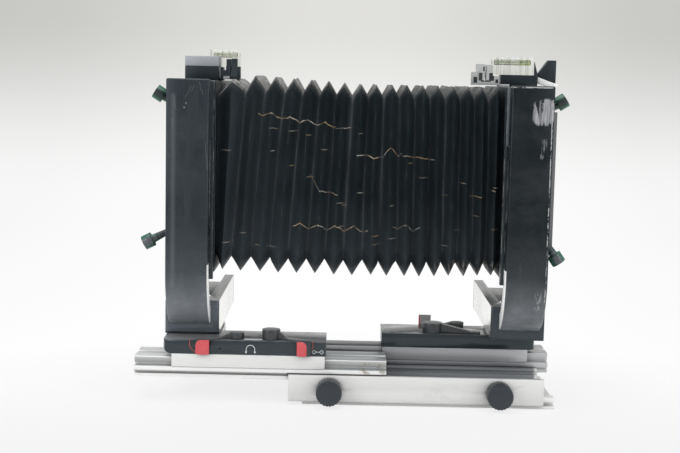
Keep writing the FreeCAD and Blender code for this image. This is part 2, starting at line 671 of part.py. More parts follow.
    # two ears with hinge pins for the green rimmed levers
    ex = fo + out * 5
    for tag, hz, dx, dz in (("top", 67, 9.7, 6.2), ("low", -49, 19.4 if out < 0 else 12, -10 if out < 0 else -17)):
        nm = "%s_clamp_%s" % (k, tag)
        hz = frame_z + size(nm + "_axis_offset", hz)
        e_lo = fo - 10 if out < 0 else fo
        e_hi = fo if out < 0 else fo + 10
        ear = box(nm + "_ear_box", e_lo, e_hi, y0 + 9.1, y0 + 11.7, hz - 6, hz + 6)
        pin = cyl(nm + "_ear_pin", "y", 1.5, 10, ex, y0 + 0.2, hz)
        ears += [ear, pin]
        hub = cyl(nm + "_hub", "y", 4, 8.4, ex, y0 + 0.4, hz)
        bore = cyl(nm + "_bore", "y", 1.5 + run, 14, ex, y0 - 3, hz)
        length = math.hypot(dx, dz)
        neck = doc.addObject("Part::Cone", nm + "_neck")
        neck.Radius1 = 2.4
        neck.Radius2 = 4
        neck.Height = length + 0.5
        head = cyl(nm + "_head", "z", head_r, head_len, 0, 0, 0)
        turn = FreeCAD.Rotation(V(0, 0, 1), V(out * dx, 0, dz))
        for piece, along in ((neck, 0), (head, length)):
            piece.Placement = FreeCAD.Placement(V(0, 0, 0), turn)
            for axis, q in (("x", ex + out * dx * (along / length)), ("y", y0 + lever_mid),
                            ("z", hz + dz * (along / length))):
                piece.setExpression(".Placement.Base." + axis, q.e)
        keep(nm + "_lever", cut(nm + "_lever_body", fuse(nm + "_lever_all", [hub, neck, head]), [bore]))
    keep(k + "_frame", fuse(k + "_frame_body", [ring_cut] + ears))

front_out = front_fx - frame_t
front_in = front_fx + frame_t
rear_out = rear_fx + frame_t
rear_in = rear_fx - frame_t
f_top = frame_z + frame_half
f_low = frame_z - frame_half
f_near = frame_y - frame_half
f_far = frame_y + frame_half

# ---- front frame fittings ----------------------------------------------
bar_drop = size("board_bar_below_top", 16.7)
bar_z = f_top - bar_drop
bar_h = size("board_bar_height", 10)
bar_t = size("board_bar_thick", 2.4)
bar_off = run
b0 = box("board_bar_box", front_out - bar_off - bar_t, front_out - bar_off, frame_y - 45, frame_y + 45,
         bar_z, bar_z + bar_h)
cuts = []
for tag, sy in (("near", -1), ("far", 1)):
    y = frame_y + sy * 36
    cuts.append(box("board_bar_slot_" + tag, front_out - 6, front_out + 1, y - 1.55, y + 1.55,
                    bar_z + 1.5, bar_z + 8.1))
    p0 = cyl("board_pin_shank_" + tag, "x", 1.5, bar_t + run * 2, front_out - bar_t - run * 2, y, bar_z + 6.55)
    p1 = cyl("board_pin_head_" + tag, "x", 2.8, 1.2, front_out - bar_t - run * 2 - 1.2, y, bar_z + 6.55)
    keep("board_bar_pin_" + tag, fuse("board_pin_" + tag, [p0, p1]))
lip = box("board_bar_lip", front_out - bar_t - 4 - run, front_out - bar_t - run, frame_y - 12, frame_y + 12,
          bar_z + 6.5, bar_z + bar_h)
keep("board_lock_bar", cut("board_bar_body", fuse("board_bar_all", [b0, lip]), cuts))
mount_x = front_out - 1.8
mount_w = size("front_mount_width", 32)
keep("front_level_mount", box("front_level_mount_box", mount_x, mount_x + mount_w, frame_y - 34,
                              frame_y - 4, f_top, f_top + 13.5))
keep("front_level_plate", box("front_level_plate_box", mount_x, mount_x + mount_w, frame_y - 34,
                              frame_y - 4, f_top + 13.5, f_top + 23))


def level(name, x0, x1, y0, y1, zl, zh):
    """Clear block with a hollow for the bubble, closed at both ends."""
    b = box(name + "_block", x0, x1, y0, y1, zl, zh)
    mid_y = (y0 + y1) / 2
    v = cyl(name + "_vial_hole", "x", 2.6, x1 - x0 - 6, x0 + 3, mid_y, zh - 5)
    return cut(name + "_body", b, [v])


lv_x0 = front_fx + 3
lv_y0 = frame_y - 3.5
keep("front_level_foot", box("front_level_foot_box", lv_x0, front_in, lv_y0, lv_y0 + 14, f_top, f_top + 13))
keep("front_level", level("front_level", lv_x0, lv_x0 + 29, lv_y0, lv_y0 + 14, f_top + 13, f_top + 30))
keep("front_vial", cyl("front_vial_cyl", "x", 2.6, 23, lv_x0 + 3, lv_y0 + 7, f_top + 25))


def clip(name, root, side, y, wide, high, tab):
    """Sprung clip that stands over the bellows end; its tab is held on the frame at root."""
    z = f_top + 1.2
    near = y
    far = y + 14
    shapes = []

    def block(tag, u0, u1, z0, z1, d0, d1):
        q = sorted([side * u0, side * u1])
        shapes.append(box(name + "_" + tag, root + q[0], root + q[1], near + d0, far - d1, z0, z1))

    block("tab", -tab, 2, f_top, f_top + 2.4, 2, 2)
    block("foot", 1, wide, z, z + 3.6, 0, 0)
    block("near_lug", 1, 1 + wide * 0.24, z, z + high * 0.45, 0, 0)
    block("far_lug", wide * 0.82, wide, z, z + high * 0.62, 0, 0)
    block("near_prong", 1 + wide * 0.24, 1 + wide * 0.46, z, z + high * 0.97, 1, 1)
    block("far_prong", wide * 0.56, wide * 0.84, z, z + high, 1, 1)
    block("bridge", wide * 0.26, wide * 0.7, z + high * 0.36, z + high * 0.64, 3, 3)
    return fuse(name + "_body", shapes)


keep("front_bellows_clip", clip("front_clip", front_in, 1, frame_y - 32, 18.5, 20, 1.5))

# ---- rear frame fittings -----------------------------------------------
back_rim = size("back_inset", 12)
back_half = frame_half - back_rim
back_t = size("back_thick", 10)
win_y = back_half - size("window_rim_y", 13)
win_z = back_half - size("window_rim_z", 25.5)
hold_y = back_half - 4
hold_z = win_z + 15
bx = rear_out
b0 = box("back_plate", bx, bx + back_t, frame_y - back_half, frame_y + back_half,
         frame_z - back_half, frame_z + back_half)
b1 = box("back_window", bx - 1, bx + back_t + 1, frame_y - win_y, frame_y + win_y,
         frame_z - win_z, frame_z + win_z)
rods = []
holes = []
for tag, sy, sz in (("a", -1, -1), ("b", 1, -1), ("c", -1, 1), ("d", 1, 1)):
    rod_y = frame_y + sy * (hold_y - 4)
    rod_z = frame_z + sz * (win_z + 10)
    rods.append(cyl("back_rod_" + tag, "x", 2, 15, bx + 1, rod_y, rod_z))
    holes.append(cyl("holder_hole_" + tag, "x", 2 + run, 20, bx + back_t - 2, rod_y, rod_z))
keep("back_frame", fuse("back_frame_body", [cut("back_frame_cut", b0, [b1])] + rods))
hx = bx + back_t + run
hold_t = size("holder_thick", 7)
h0 = box("holder_plate", hx, hx + hold_t, frame_y - hold_y, frame_y + hold_y,
         frame_z - hold_z, frame_z + hold_z)
h1 = box("holder_window", hx - 1, hx + hold_t + 1, frame_y - win_y, frame_y + win_y,
         frame_z - win_z, frame_z + win_z)
h2 = box("holder_rebate", hx + 3, hx + hold_t + 1, frame_y - win_y - 3, frame_y + win_y + 3,
         frame_z - win_z - 3, frame_z + win_z + 3)
keep("glass_holder", cut("holder_body", h0, [h1, h2] + holes))
keep("ground_glass", box("ground_glass_box", hx + 3, hx + 5, frame_y - win_y - 3, frame_y + win_y + 3,
                         frame_z - win_z - 3, frame_z + win_z + 3))
mount_lo = rear_in + 2.7
mount_hi = rear_out + 6.5
m_top = f_top + 11.5
fin = [(mount_lo, f_top), (mount_hi, f_top), (mount_hi, m_top + 1), (mount_hi - 3.4, m_top + 13),
       (mount_hi - 3.4, m_top), (mount_lo, m_top)]
keep("rear_level_mount", pad("rear_mount_pad", "XZ", fin, frame_y - 12, frame_y + 4))
lv = mount_lo - 9
lv_end = mount_hi - 3.6
keep("rear_level", level("rear_level", lv, lv_end, frame_y - 11, frame_y + 3, m_top, m_top + 17))
keep("rear_vial", cyl("rear_vial_cyl", "x", 2.6, lv_end - lv - 6, lv + 3, frame_y - 4, m_top + 12))
keep("rear_bellows_clip", clip("rear_clip", rear_in, -1, frame_y - 32, 27, 20, 9))
# back latch: black wedge on a sloping spring plate
spring = [(mount_hi + 0.2, f_top + 4), (mount_hi + 0.2, f_top + 10), (mount_hi + 20.5, f_top + 3),
          (mount_hi + 20.5, f_top), (mount_hi + 14, f_top)]
keep("rear_latch_spring", pad("rear_spring_pad", "XZ", spring, frame_y - 10, frame_y + 2))
w = [(mount_hi + 0.5, f_top + 10.2), (mount_hi + 0.5, f_top + 12.5), (mount_hi + 10.5, f_top + 26.3),
     (mount_hi + 18, f_top + 26.3), (mount_hi + 18, f_top + 4.2)]
keep("rear_back_latch", pad("rear_latch_pad", "XZ", w, frame_y - 10, frame_y + 2))

# ---- bellows -----------------------------------------------------------
bel_x0 = front_in
bel_x1 = rear_in
for tag, x0, x1 in (("front", bel_x0, bel_x0 + bel_t), ("rear", bel_x1 - bel_t, bel_x1)):
    p = box(tag + "_end_plate", x0, x1, f_near + 0.5, f_far - 0.5, f_low + 0.5, f_top - 0.5)
    h = box(tag + "_end_hole", x0 - 1, x1 + 1, frame_y - hole_half, frame_y + hole_half,
            frame_z - hole_half, frame_z + hole_half)
    keep(tag + "_bellows_end", cut(tag + "_end_body", p, [h]))


def ring(x, half, cham):
    """Eight corners of a square with cut corners, in the plane X = x."""
    c = cham
    pts = [(half, half - c), (half - c, half), (-half + c, half), (-half, half - c),
           (-half, -half + c), (-half + c, -half), (half - c, -half), (half, -half + c)]
    return [V(x, frame_y.v + a, frame_z.v + b) for a, b in pts]


def bellows():
    n = pleats * 2
    x0 = (bel_x0 + bel_t).v
    x1 = (bel_x1 - bel_t).v
    outer = []
    inside = []
    for i in range(n + 1):
        x = x0 + (x1 - x0) * i / n
        half = bel_half.v if i % 2 else bel_in.v
        cham = 20 if i % 2 else 12
        outer.append(ring(x, half, cham))
        inside.append(ring(x, half - 1.6, cham - 0.6))
    faces = []
    for rows in (outer, inside):
        for i in range(n):
            for j in range(8):
                k = (j + 1) % 8
                a, b, c, d = rows[i][j], rows[i][k], rows[i + 1][k], rows[i + 1][j]
                faces.append(Part.Face(Part.makePolygon([a, b, c, a])))
                faces.append(Part.Face(Part.makePolygon([a, c, d, a])))
    for i in (0, n):
        for j in range(8):
            k = (j + 1) % 8
            a, b, c, d = outer[i][j], outer[i][k], inside[i][k], inside[i][j]
            faces.append(Part.Face(Part.makePolygon([a, b, c, a])))
            faces.append(Part.Face(Part.makePolygon([a, c, d, a])))
    shell = Part.makeShell(faces)
    solid = Part.makeSolid(shell)
    if solid.Volume < 0:
        solid.reverse()
    return solid


f = doc.addObject("Part::Feature", "bellows_shape")
f.Shape = bellows()
keep("bellows", f)

# ---- check and export --------------------------------------------------
doc.recompute()
bad = []
for o in doc.Objects:
    st = list(getattr(o, "State", []))
    if "Invalid" in st or "Error" in st:
        bad.append(o.Name + " " + " ".join(st))
for name, obj in nodes:
    sh = obj.Shape
    if sh.isNull() or not sh.isValid():
        bad.append("shape " + name)
    elif len(sh.Solids) != 1:
        bad.append("%s has %d solids" % (name, len(sh.Solids)))
if bad:
    raise RuntimeError("; ".join(bad))
for name, obj in nodes:
    obj.Shape.exportStep(os.path.join("parts", name + ".step"))
print("nodes", len(nodes))
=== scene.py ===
# %% [markdown]
# # A view camera on a telescoping twin rail
# This lesson dresses a finished set of solids: it gives each piece soft edges and a
# finish, and makes anew the one piece that solids show badly, the folded bellows.
# The solids arrive in metres, with X along the rails, Y across them and Z up.
# Every dressed solid and every slab is tied to the body of the mechanism that carries it.

# %% Load the solids
import json
import math
import random

import bmesh
import bpy
from mathutils import Matrix, Vector


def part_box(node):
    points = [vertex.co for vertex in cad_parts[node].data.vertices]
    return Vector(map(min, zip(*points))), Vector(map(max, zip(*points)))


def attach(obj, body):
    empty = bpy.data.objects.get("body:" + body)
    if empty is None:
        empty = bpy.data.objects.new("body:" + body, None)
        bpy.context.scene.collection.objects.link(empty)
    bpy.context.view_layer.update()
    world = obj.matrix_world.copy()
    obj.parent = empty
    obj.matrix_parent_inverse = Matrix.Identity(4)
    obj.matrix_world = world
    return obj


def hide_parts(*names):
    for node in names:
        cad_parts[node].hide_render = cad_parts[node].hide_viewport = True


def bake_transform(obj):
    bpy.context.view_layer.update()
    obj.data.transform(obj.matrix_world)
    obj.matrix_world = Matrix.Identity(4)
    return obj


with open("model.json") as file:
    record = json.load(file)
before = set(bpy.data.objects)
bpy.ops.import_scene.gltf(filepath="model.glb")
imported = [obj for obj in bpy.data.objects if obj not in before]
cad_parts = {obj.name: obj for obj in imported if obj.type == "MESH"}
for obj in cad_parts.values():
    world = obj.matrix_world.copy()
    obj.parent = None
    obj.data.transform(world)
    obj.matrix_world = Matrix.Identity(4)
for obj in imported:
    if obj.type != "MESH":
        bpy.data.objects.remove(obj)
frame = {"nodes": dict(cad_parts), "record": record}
record = frame["record"]
slot_of = {s["node"]: s["material_slot"] for s in record["subparts"]}
body_of = {n: b for b, ns in record["behaviour"]["bodies"].items() for n in ns}
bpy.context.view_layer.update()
MM = 0.001

# %% [markdown]
# ## Finishes
# Every finish is a small node tree on Object coordinates, so that it sits still on
# its piece. A helper keeps the trees short: it adds a node, sets its inputs and
# links whatever is given as a socket. The next ones are named for what they do to a
# value, so that a finish reads like a recipe.

# %% Node helper
def node(tree, kind, out=0, **inputs):
    """Adds a node, sets attributes in lower case and inputs given as in_NAME."""
    n = tree.nodes.new(kind)
    links = {}
    for key, value in inputs.items():
        if key.startswith("in_"):
            links[key[3:].replace("_", " ")] = value
        elif key.startswith("i") and key[1:].isdigit():
            links[int(key[1:])] = value
        else:
            setattr(n, key, value)
    for key, value in links.items():
        if isinstance(value, bpy.types.NodeSocket):
            tree.links.new(value, n.inputs[key])
        else:
            n.inputs[key].default_value = value
    return n.outputs[out]


print("node helper ready")


# %% Blank finish
def start_finish(name, colour, rough, metal=0.0, **more):
    """A new material with its Principled shader's plain values set."""
    m = bpy.data.materials.new(name)
    m.use_nodes = True
    t = m.node_tree
    b = t.nodes["Principled BSDF"]
    b.inputs["Base Color"].default_value = (*colour, 1)
    b.inputs["Roughness"].default_value = rough
    b.inputs["Metallic"].default_value = metal
    for key, value in more.items():
        b.inputs[key.replace("_", " ")].default_value = value
    m.diffuse_color = (*colour, 1)
    return m, t, b


print("blank finish ready, materials so far", len(bpy.data.materials))


# %% Places and noise
def place_of(t, scale=(1, 1, 1), turn=(0, 0, 0)):
    """Object coordinates, stretched by scale and turned."""
    c = node(t, "ShaderNodeTexCoord", out=3)
    return node(t, "ShaderNodeMapping", in_Vector=c, in_Scale=scale, in_Rotation=turn)


def noise(t, where, scale, detail=3, rough=0.5):
    """Soft random value between 0 and 1, the same on each run."""
    return node(t, "ShaderNodeTexNoise", in_Vector=where, in_Scale=scale, in_Detail=detail,
                in_Roughness=rough)


def drawn_noise(t, scale, detail=3, rough=0.5):
    """Noise with its own scale along each axis, so that it can be long one way."""
    return noise(t, place_of(t, scale), 1.0, detail, rough)


print("places and noise ready")


# %% Sums and mixes
def ramp(t, value, low, high, a=0.0, b=1.0):
    """Maps low..high on to a..b, clamped."""
    return node(t, "ShaderNodeMapRange", i0=value, i1=low, i2=high, i3=a, i4=b, clamp=True)


def maths(t, how, a, b=0.0):
    """One step of arithmetic on values or sockets."""
    return node(t, "ShaderNodeMath", operation=how, i0=a, i1=b)


def times(t, *factors):
    """The product of two or more values."""
    total = factors[0]
    for factor in factors[1:]:
        total = maths(t, "MULTIPLY", total, factor)
    return total


def plus(t, a, b):
    return maths(t, "ADD", a, b)


def minus(t, a, b):
    return maths(t, "SUBTRACT", a, b)


def greatest(t, a, b):
    return maths(t, "MAXIMUM", a, b)


def mix(t, share, a, b):
    """Mixes two colours, each a tuple or a socket."""
    n = t.nodes.new("ShaderNodeMix")
    n.data_type = "RGBA"
    for i, v in ((0, share), (6, a), (7, b)):
        if isinstance(v, bpy.types.NodeSocket):
            t.links.new(v, n.inputs[i])
        elif i == 0:
            n.inputs[i].default_value = v
        else:
            n.inputs[i].default_value = (*v, 1)
    return n.outputs[2]


print("sums and mixes ready")


# %% Wear and bumps
def edge_wear(t, radius, low, high):
    """1 on sharp edges, 0 on flats: how far a rounded normal leans from the true one."""
    soft = node(t, "ShaderNodeBevel", samples=6, in_Radius=radius)
    true = node(t, "ShaderNodeNewGeometry", out=1)
    d = node(t, "ShaderNodeVectorMath", out=1, operation="DOT_PRODUCT", i0=soft, i1=true)
    return ramp(t, d, high, low, 0.0, 1.0)


def bump(t, b, height, distance, strength):
    """Tilts the shading as if the surface rose by a height times a distance in metres."""
    n = node(t, "ShaderNodeBump", in_Height=height, in_Distance=distance, in_Strength=strength)
    t.links.new(n, b.inputs["Normal"])


print("wear and bumps ready")

# %% [markdown]
# ## Black painted castings
# The standards and carriages are cast metal under satin black paint. Years of use
# wear the paint off the sharp edges, leave long thin scratches and soft dusty
# streaks, and here and there a patch down to the metal. The whole-surface wear comes
# from noise; the few marks that a user would know the camera by are placed one by
# one, each a soft box or a short straight line on Object coordinates.

# %% Masks
def split(t, where):
    """X, Y and Z of a vector, as three sockets."""
    n = t.nodes.new("ShaderNodeSeparateXYZ")
    t.links.new(where, n.inputs[0])
    return n.outputs


def box_mask(t, where, low, high, soft):
    """1 inside a box on the given coordinates, falling to 0 over a soft border."""
    axes = split(t, where)
    total = 1.0
    for i in range(3):
        if low[i] is None:
            continue
        rise = ramp(t, axes[i], low[i], low[i] + soft)
        fall = ramp(t, axes[i], high[i] - soft, high[i], 1.0, 0.0)
        total = times(t, rise, fall, total)
    return total


def box_mm(name):
    """Lowest and highest corner of a solid, in mm."""
    low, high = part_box(name)
    return low / MM, high / MM


def band(t, where, x=None, y=None, z=None, soft=2.0):
    """A box mask with its ranges and border in mm. An axis left out has no limits."""
    spans = [span or (None, None) for span in (x, y, z)]
    low, high = ([v if v is None else v * MM for v in ends] for ends in zip(*spans))
    return box_mask(t, where, low, high, soft * MM)


def scratch(t, where, x, z, degrees, length, width=0.5):
    """1 along a short straight line, in mm, on a face that looks along Y."""
    line = node(t, "ShaderNodeMapping", vector_type="TEXTURE", in_Vector=where,
                in_Location=(x * MM, 0, z * MM), in_Rotation=(0, math.radians(degrees), 0))
    half, thin = length / 2, width / 2
    return band(t, line, x=(-half, half), z=(-thin, thin), soft=thin)


def upward(t):
    """1 on faces that look up, 0 on upright ones."""
    return ramp(t, split(t, node(t, "ShaderNodeNewGeometry", out=1))[2], 0.5, 0.95)


def over(t, b, share, colour):
    """Lays a colour over what already feeds the shader's base colour."""
    fed = b.inputs["Base Color"].links[0].from_socket
    t.links.new(mix(t, share, fed, colour), b.inputs["Base Color"])


print("masks and layers ready")

# %% Black paint
BLUISH = (0.80, 0.93, 1.0, 1)


def black_paint(name, colour, wear=1.0, scratches=1.0, dust=0.16, rough=0.3, streaks=0.0):
    """Satin black paint with worn edges, long scratches, dust and, where asked, a streaky film."""
    m, t, b = start_finish(name, colour, rough, Specular_IOR_Level=0.5, Specular_Tint=BLUISH)
    where = place_of(t)
    broken = ramp(t, noise(t, where, 85, 6, 0.65), 0.46, 0.60)
    worn = times(t, edge_wear(t, 1.1 * MM, 0.90, 0.985), broken, wear)
    long_way = place_of(t, (330, 330, 16), (0.16, 0.10, 0.0))
    line = ramp(t, noise(t, long_way, 1.0, 2), 0.725, 0.76)
    patch = ramp(t, noise(t, where, 22, 2), 0.52, 0.62)
    line = times(t, line, patch, 0.45 * scratches)
    cloud = ramp(t, drawn_noise(t, (22, 22, 30), 6, 0.7), 0.42, 0.72, 0.0, dust * 0.6)
    grain = ramp(t, noise(t, where, 420, 3), 0.66, 0.78, 0.0, dust)
    pale_streaks = ramp(t, drawn_noise(t, (95, 95, 5), 4, 0.6), 0.46, 0.70, 0.0, streaks * 1.6)
    dusty = greatest(t, greatest(t, cloud, grain), pale_streaks)
    base = mix(t, dusty, colour, (0.17, 0.18, 0.19))
    base = mix(t, line, base, (0.38, 0.38, 0.36))
    base = mix(t, worn, base, (0.42, 0.42, 0.40))
    t.links.new(base, b.inputs["Base Color"])
    uneven = ramp(t, noise(t, where, 60, 4), 0.3, 0.7, rough - 0.05, rough + 0.07)
    t.links.new(uneven, b.inputs["Roughness"])
    bump(t, b, noise(t, where, 1500, 2), 0.00006, 0.5)
    return m, t, b


paint = black_paint("satin_black_paint", (0.012, 0.015, 0.017))[0]
carriage_paint, t, b = black_paint("carriage_black_paint", (0.022, 0.027, 0.030), wear=0.5,
                                   scratches=0.4, dust=0.10, rough=0.12)
# painted light: the upper faces of the carriages are paler, as if lit from above
over(t, b, upward(t), (0.17, 0.172, 0.175))
foot_paint = black_paint("foot_black_paint", (0.026, 0.031, 0.036), wear=0.6, scratches=0.4,
                         dust=0.10, rough=0.22)[0]
# painted light: the front nose gets a paler copy of the foot paint, for the light its face catches
lit_nose_paint = black_paint("lit_nose_black_paint", (0.085, 0.097, 0.108), wear=0.6, scratches=0.4,
                         dust=0.10, rough=0.22)[0]
print("paints", paint.name, carriage_paint.name, foot_paint.name, lit_nose_paint.name)


# %% Black plastic
def moulded(name, colour, rough, tint, grain, strength):
    """Plain moulded plastic with a fine grain."""
    m, t, b = start_finish(name, colour, rough, Specular_Tint=tint)
    bump(t, b, noise(t, place_of(t), grain, 2), 0.0001, strength)
    return m


plastic = moulded("black_plastic", (0.008, 0.011, 0.013), 0.42, BLUISH, 1800, 0.5)
knob_plastic = moulded("knob_plastic", (0.026, 0.029, 0.032), 0.35, (0.85, 0.93, 1.0, 1), 1500, 0.4)
print("plastics", plastic.name, knob_plastic.name)

# %% [markdown]
# ### The two uprights
# The front upright has a dusty film, a painted highlight along its outer edge, and fine
# scratches near its top. The rear one is darker and cleaner, but has a bare patch at its top
# corner and a chipped edge. Both are paler low down, from dust and from a painted reflection
# of the bright floor on the lower bend, and both have a bare machined face on the inside of
# the lower bend.

# %% Upright finish
SILVER = (0.92, 0.92, 0.90)
PALE = (0.45, 0.46, 0.46)
BEND_HEIGHT = 62.4


def upright_paint(name, colour, upright, inner_side, streaks, shine):
    """Black paint, paler low down from dust and painted floor reflection, with a bare machined face inside
    the lower bend.
    """
    m, t, b = black_paint(name, colour, scratches=0.7, streaks=streaks)
    b.inputs["Specular IOR Level"].default_value = shine
    where = place_of(t)
    low, high = box_mm(upright)
    height = minus(t, split(t, where)[2], low.z * MM)
    # dust and a painted reflection of the bright floor, strongest on the lower bend
    low_dust_and_reflection = ramp(t, height, -6.6 * MM, 55.4 * MM, 0.46, 0.0)
    higher_dust_and_reflection = ramp(t, height, 26.4 * MM, 96.4 * MM, 0.12, 0.0)
    cloudy = ramp(t, noise(t, where, 45, 5, 0.7), 0.35, 0.65, 0.68, 1.0)
    over(t, b, times(t, plus(t, low_dust_and_reflection, higher_dust_and_reflection), cloudy), (0.40, 0.42, 0.44))
    x = high.x if inner_side > 0 else low.x
    bare = band(t, where, x=(x - 0.9, x + 0.9), z=(low.z - 5, low.z + BEND_HEIGHT), soft=0.5)
    over(t, b, bare, SILVER)
    return m, t, b, where


print("uprights reach up to", round(box_mm("front_upright")[1].z, 1), "mm")

# %% Front upright
front_upright_paint, t, b, where = upright_paint(
    "front_upright_paint", (0.014, 0.018, 0.021), "front_upright", inner_side=1, streaks=0.08, shine=0.36)
low, high = box_mm("front_upright")
out, foot, top = low.x, low.z, high.z
# painted highlight: a pale vertical streak near the outer edge of the face
pale_streaks = band(t, where, x=(out + 3.5, out + 10), z=(foot + 39.4, top - 12), soft=3)
over(t, b, times(t, pale_streaks, 0.10), (0.36, 0.38, 0.40))
# scratches: along and down from the outer top corner, angle, length
for dx, dz, angle, length in ((20, -12, -62, 12), (24, -9, -60, 6), (31, -7, 80, 9), (33, -12, 88, 5),
                              (8, -22, 84, 12), (6, -40, 88, 9), (37, -70, 86, 26), (8, -200, 70, 6),
                              (16, -206, 50, 7), (20, -196, 60, 4)):
    over(t, b, times(t, scratch(t, where, out + dx, top + dz, angle, length), 0.22), PALE)
for x, z in ((out + 18.2, top - 22), (out + 16.6, top - 26)):
    chip = band(t, where, x=(x - 1, x + 1), z=(z - 1, z + 1), soft=1)
    over(t, b, times(t, chip, 0.55), PALE)
specks = ramp(t, noise(t, where, 520, 2), 0.70, 0.74, 0.0, 0.5)
low_corner = band(t, where, x=(out - 2, out + 26), z=(foot + 11.4, foot + 47.4), soft=9)
over(t, b, times(t, specks, low_corner), PALE)
print("front upright", front_upright_paint.name)

# %% Rear upright
rear_upright_paint, t, b, where = upright_paint(
    "rear_upright_paint", (0.006, 0.008, 0.009), "rear_upright", inner_side=-1, streaks=0.02, shine=0.22)
low, high = box_mm("rear_upright")
out, foot, top = high.x, low.z, high.z
ragged = ramp(t, drawn_noise(t, (190, 190, 45), 6, 0.7), 0.37, 0.50)
corner = band(t, where, x=(out - 22, out + 2), z=(top - 38, top - 9), soft=8)
rubbed = ramp(t, times(t, corner, ragged), 0.22, 0.42)
grain = ramp(t, drawn_noise(t, (900, 900, 60)), 0.35, 0.65)
over(t, b, rubbed, mix(t, grain, (0.14, 0.14, 0.15), (0.33, 0.33, 0.33)))
chips = ramp(t, drawn_noise(t, (500, 500, 130), 4, 0.7), 0.47, 0.53)
outer_edge = band(t, where, x=(out - 2.6, out - 1.3), z=(foot + 31.4, top - 12), soft=0.4)
over(t, b, times(t, chips, outer_edge, 0.75), (0.52, 0.52, 0.51))
chips = ramp(t, drawn_noise(t, (130, 500, 500), 4, 0.7), 0.45, 0.52)
top_edge = band(t, where, x=(out - 62, out - 2), z=(top - 2.2, top - 0.7), soft=0.4)
over(t, b, times(t, chips, top_edge, 0.7), (0.50, 0.50, 0.49))
for x, z in ((out - 9, top - 57), (out - 8, foot + 33.4)):
    rub = band(t, where, x=(x - 4, x + 4), z=(z - 10, z + 10), soft=3)
    thin = ramp(t, drawn_noise(t, (420, 420, 60), 4, 0.7), 0.50, 0.62, 0.0, 0.5)
    over(t, b, times(t, rub, thin), PALE)
print("rear upright", rear_upright_paint.name)

# %% [markdown]
# ## Bare aluminium
# Rails and clamps are extruded and anodised: fine lines run along the rail, painted shade
# darkens its grooves and a few stains have dried on it. A noise stretched along X gives the
# lines, and ambient occlusion finds the grooves for the painted shade.

# %% Aluminium and steel
def aluminium(name, colour, rough, along=(6, 900, 900), stain=0.0, metal=1.0, groove_shade=0.55, lines=0.08):
    """Drawn metal: fine lines along it, grooves darkened by painted shade and, where asked, dried stains."""
    m, t, b = start_finish(name, colour, rough, metal)
    drawn = drawn_noise(t, along)
    darker = tuple(c * (1 - lines) for c in colour)
    base = mix(t, ramp(t, drawn, 0.3, 0.7), darker, colour)
    if stain:
        spot = ramp(t, drawn_noise(t, (60, 60, 140), 5, 0.7), 0.66, 0.74, 0.0, stain)
        base = mix(t, spot, base, (0.30, 0.22, 0.14))
    # painted shade: ambient occlusion darkens the grooves and recesses
    open_sky = node(t, "ShaderNodeAmbientOcclusion", out=1, samples=6, in_Distance=7 * MM)
    groove_shade_colour = tuple(c * (1 - groove_shade) for c in colour)
    base = mix(t, ramp(t, open_sky, 0.25, 0.85), groove_shade_colour, base)
    t.links.new(base, b.inputs["Base Color"])
    t.links.new(ramp(t, drawn, 0.25, 0.75, rough - 0.04, rough + 0.06), b.inputs["Roughness"])
    bump(t, b, drawn, 0.00004, 0.3)
    return m, t, b


def along_rail(t, start, stop, share):
    """Rises from 0 to a share between two places along the rails, in mm."""
    return ramp(t, split(t, place_of(t))[0], start * MM, stop * MM, 0.0, share)


RAIL_WHITE = (0.86, 0.86, 0.84)
ALL_WAYS = (500, 500, 500)
base_silver = aluminium("base_rail_aluminium", RAIL_WHITE, 0.36, metal=0.35, groove_shade=0.3)[0]
steel = aluminium("turned_steel", (0.50, 0.50, 0.50), 0.3, ALL_WAYS)[0]
plate_silver = aluminium("level_plate_aluminium", (0.37, 0.385, 0.40), 0.5, ALL_WAYS, metal=0.2)[0]
print("plain metals", base_silver.name, steel.name, plate_silver.name)

# %% [markdown]
# ### Metal that differs from place to place
# The front rail has painted shade: it is greyer on top than on its sides, more so towards
# its far end under the carriages, with darker bands in its top slot, along its flank and its
# foot, and a painted shadow line along the housing rim. It also has a dried stain at its end.
# The rear rail and its clamp are darker copies in painted shade that grow paler towards the
# back, and painted shade darkens the housing inside. Each band is a soft box on Object
# coordinates, laid over the drawn metal.

# %% Front rail
SHADE = (0.26, 0.26, 0.255)
rail_silver, t, b = aluminium("front_rail_aluminium", RAIL_WHITE, 0.36, metal=0.35, groove_shade=0.72)
where = place_of(t)
axes = split(t, where)
low, high = box_mm("front_rail")
up = upward(t)
# painted shade: upper faces greyer, more so towards the far end, where the carriages shade them
carriage_shade_along = ramp(t, axes[0], (low.x + 45) * MM, (high.x - 50) * MM, 0.35, 0.85)
over(t, b, times(t, up, carriage_shade_along), (0.33, 0.36, 0.375))
# painted shade in the slot along the top
slot = band(t, where, y=(low.y + 18, low.y + 30), z=(high.z - 2.4, high.z + 2.6), soft=3)
over(t, b, times(t, slot, up, 0.5), (0.16, 0.17, 0.18))
# painted shade on the flank under the top edge, lighter towards its top
flank = band(t, where, z=(high.z - 7, high.z - 0.6), soft=0.8)
paler_up = ramp(t, axes[2], (high.z - 7.4) * MM, (high.z - 0.4) * MM, 0.9, 0.55)
over(t, b, times(t, flank, paler_up, minus(t, 1.0, up)), (0.26, 0.265, 0.26))
over(t, b, times(t, band(t, where, z=(low.z + 3.4, low.z + 6.9), soft=1.0), 0.75), SHADE)
housing_low, housing_high = box_mm("track_housing")
rim = housing_high.z
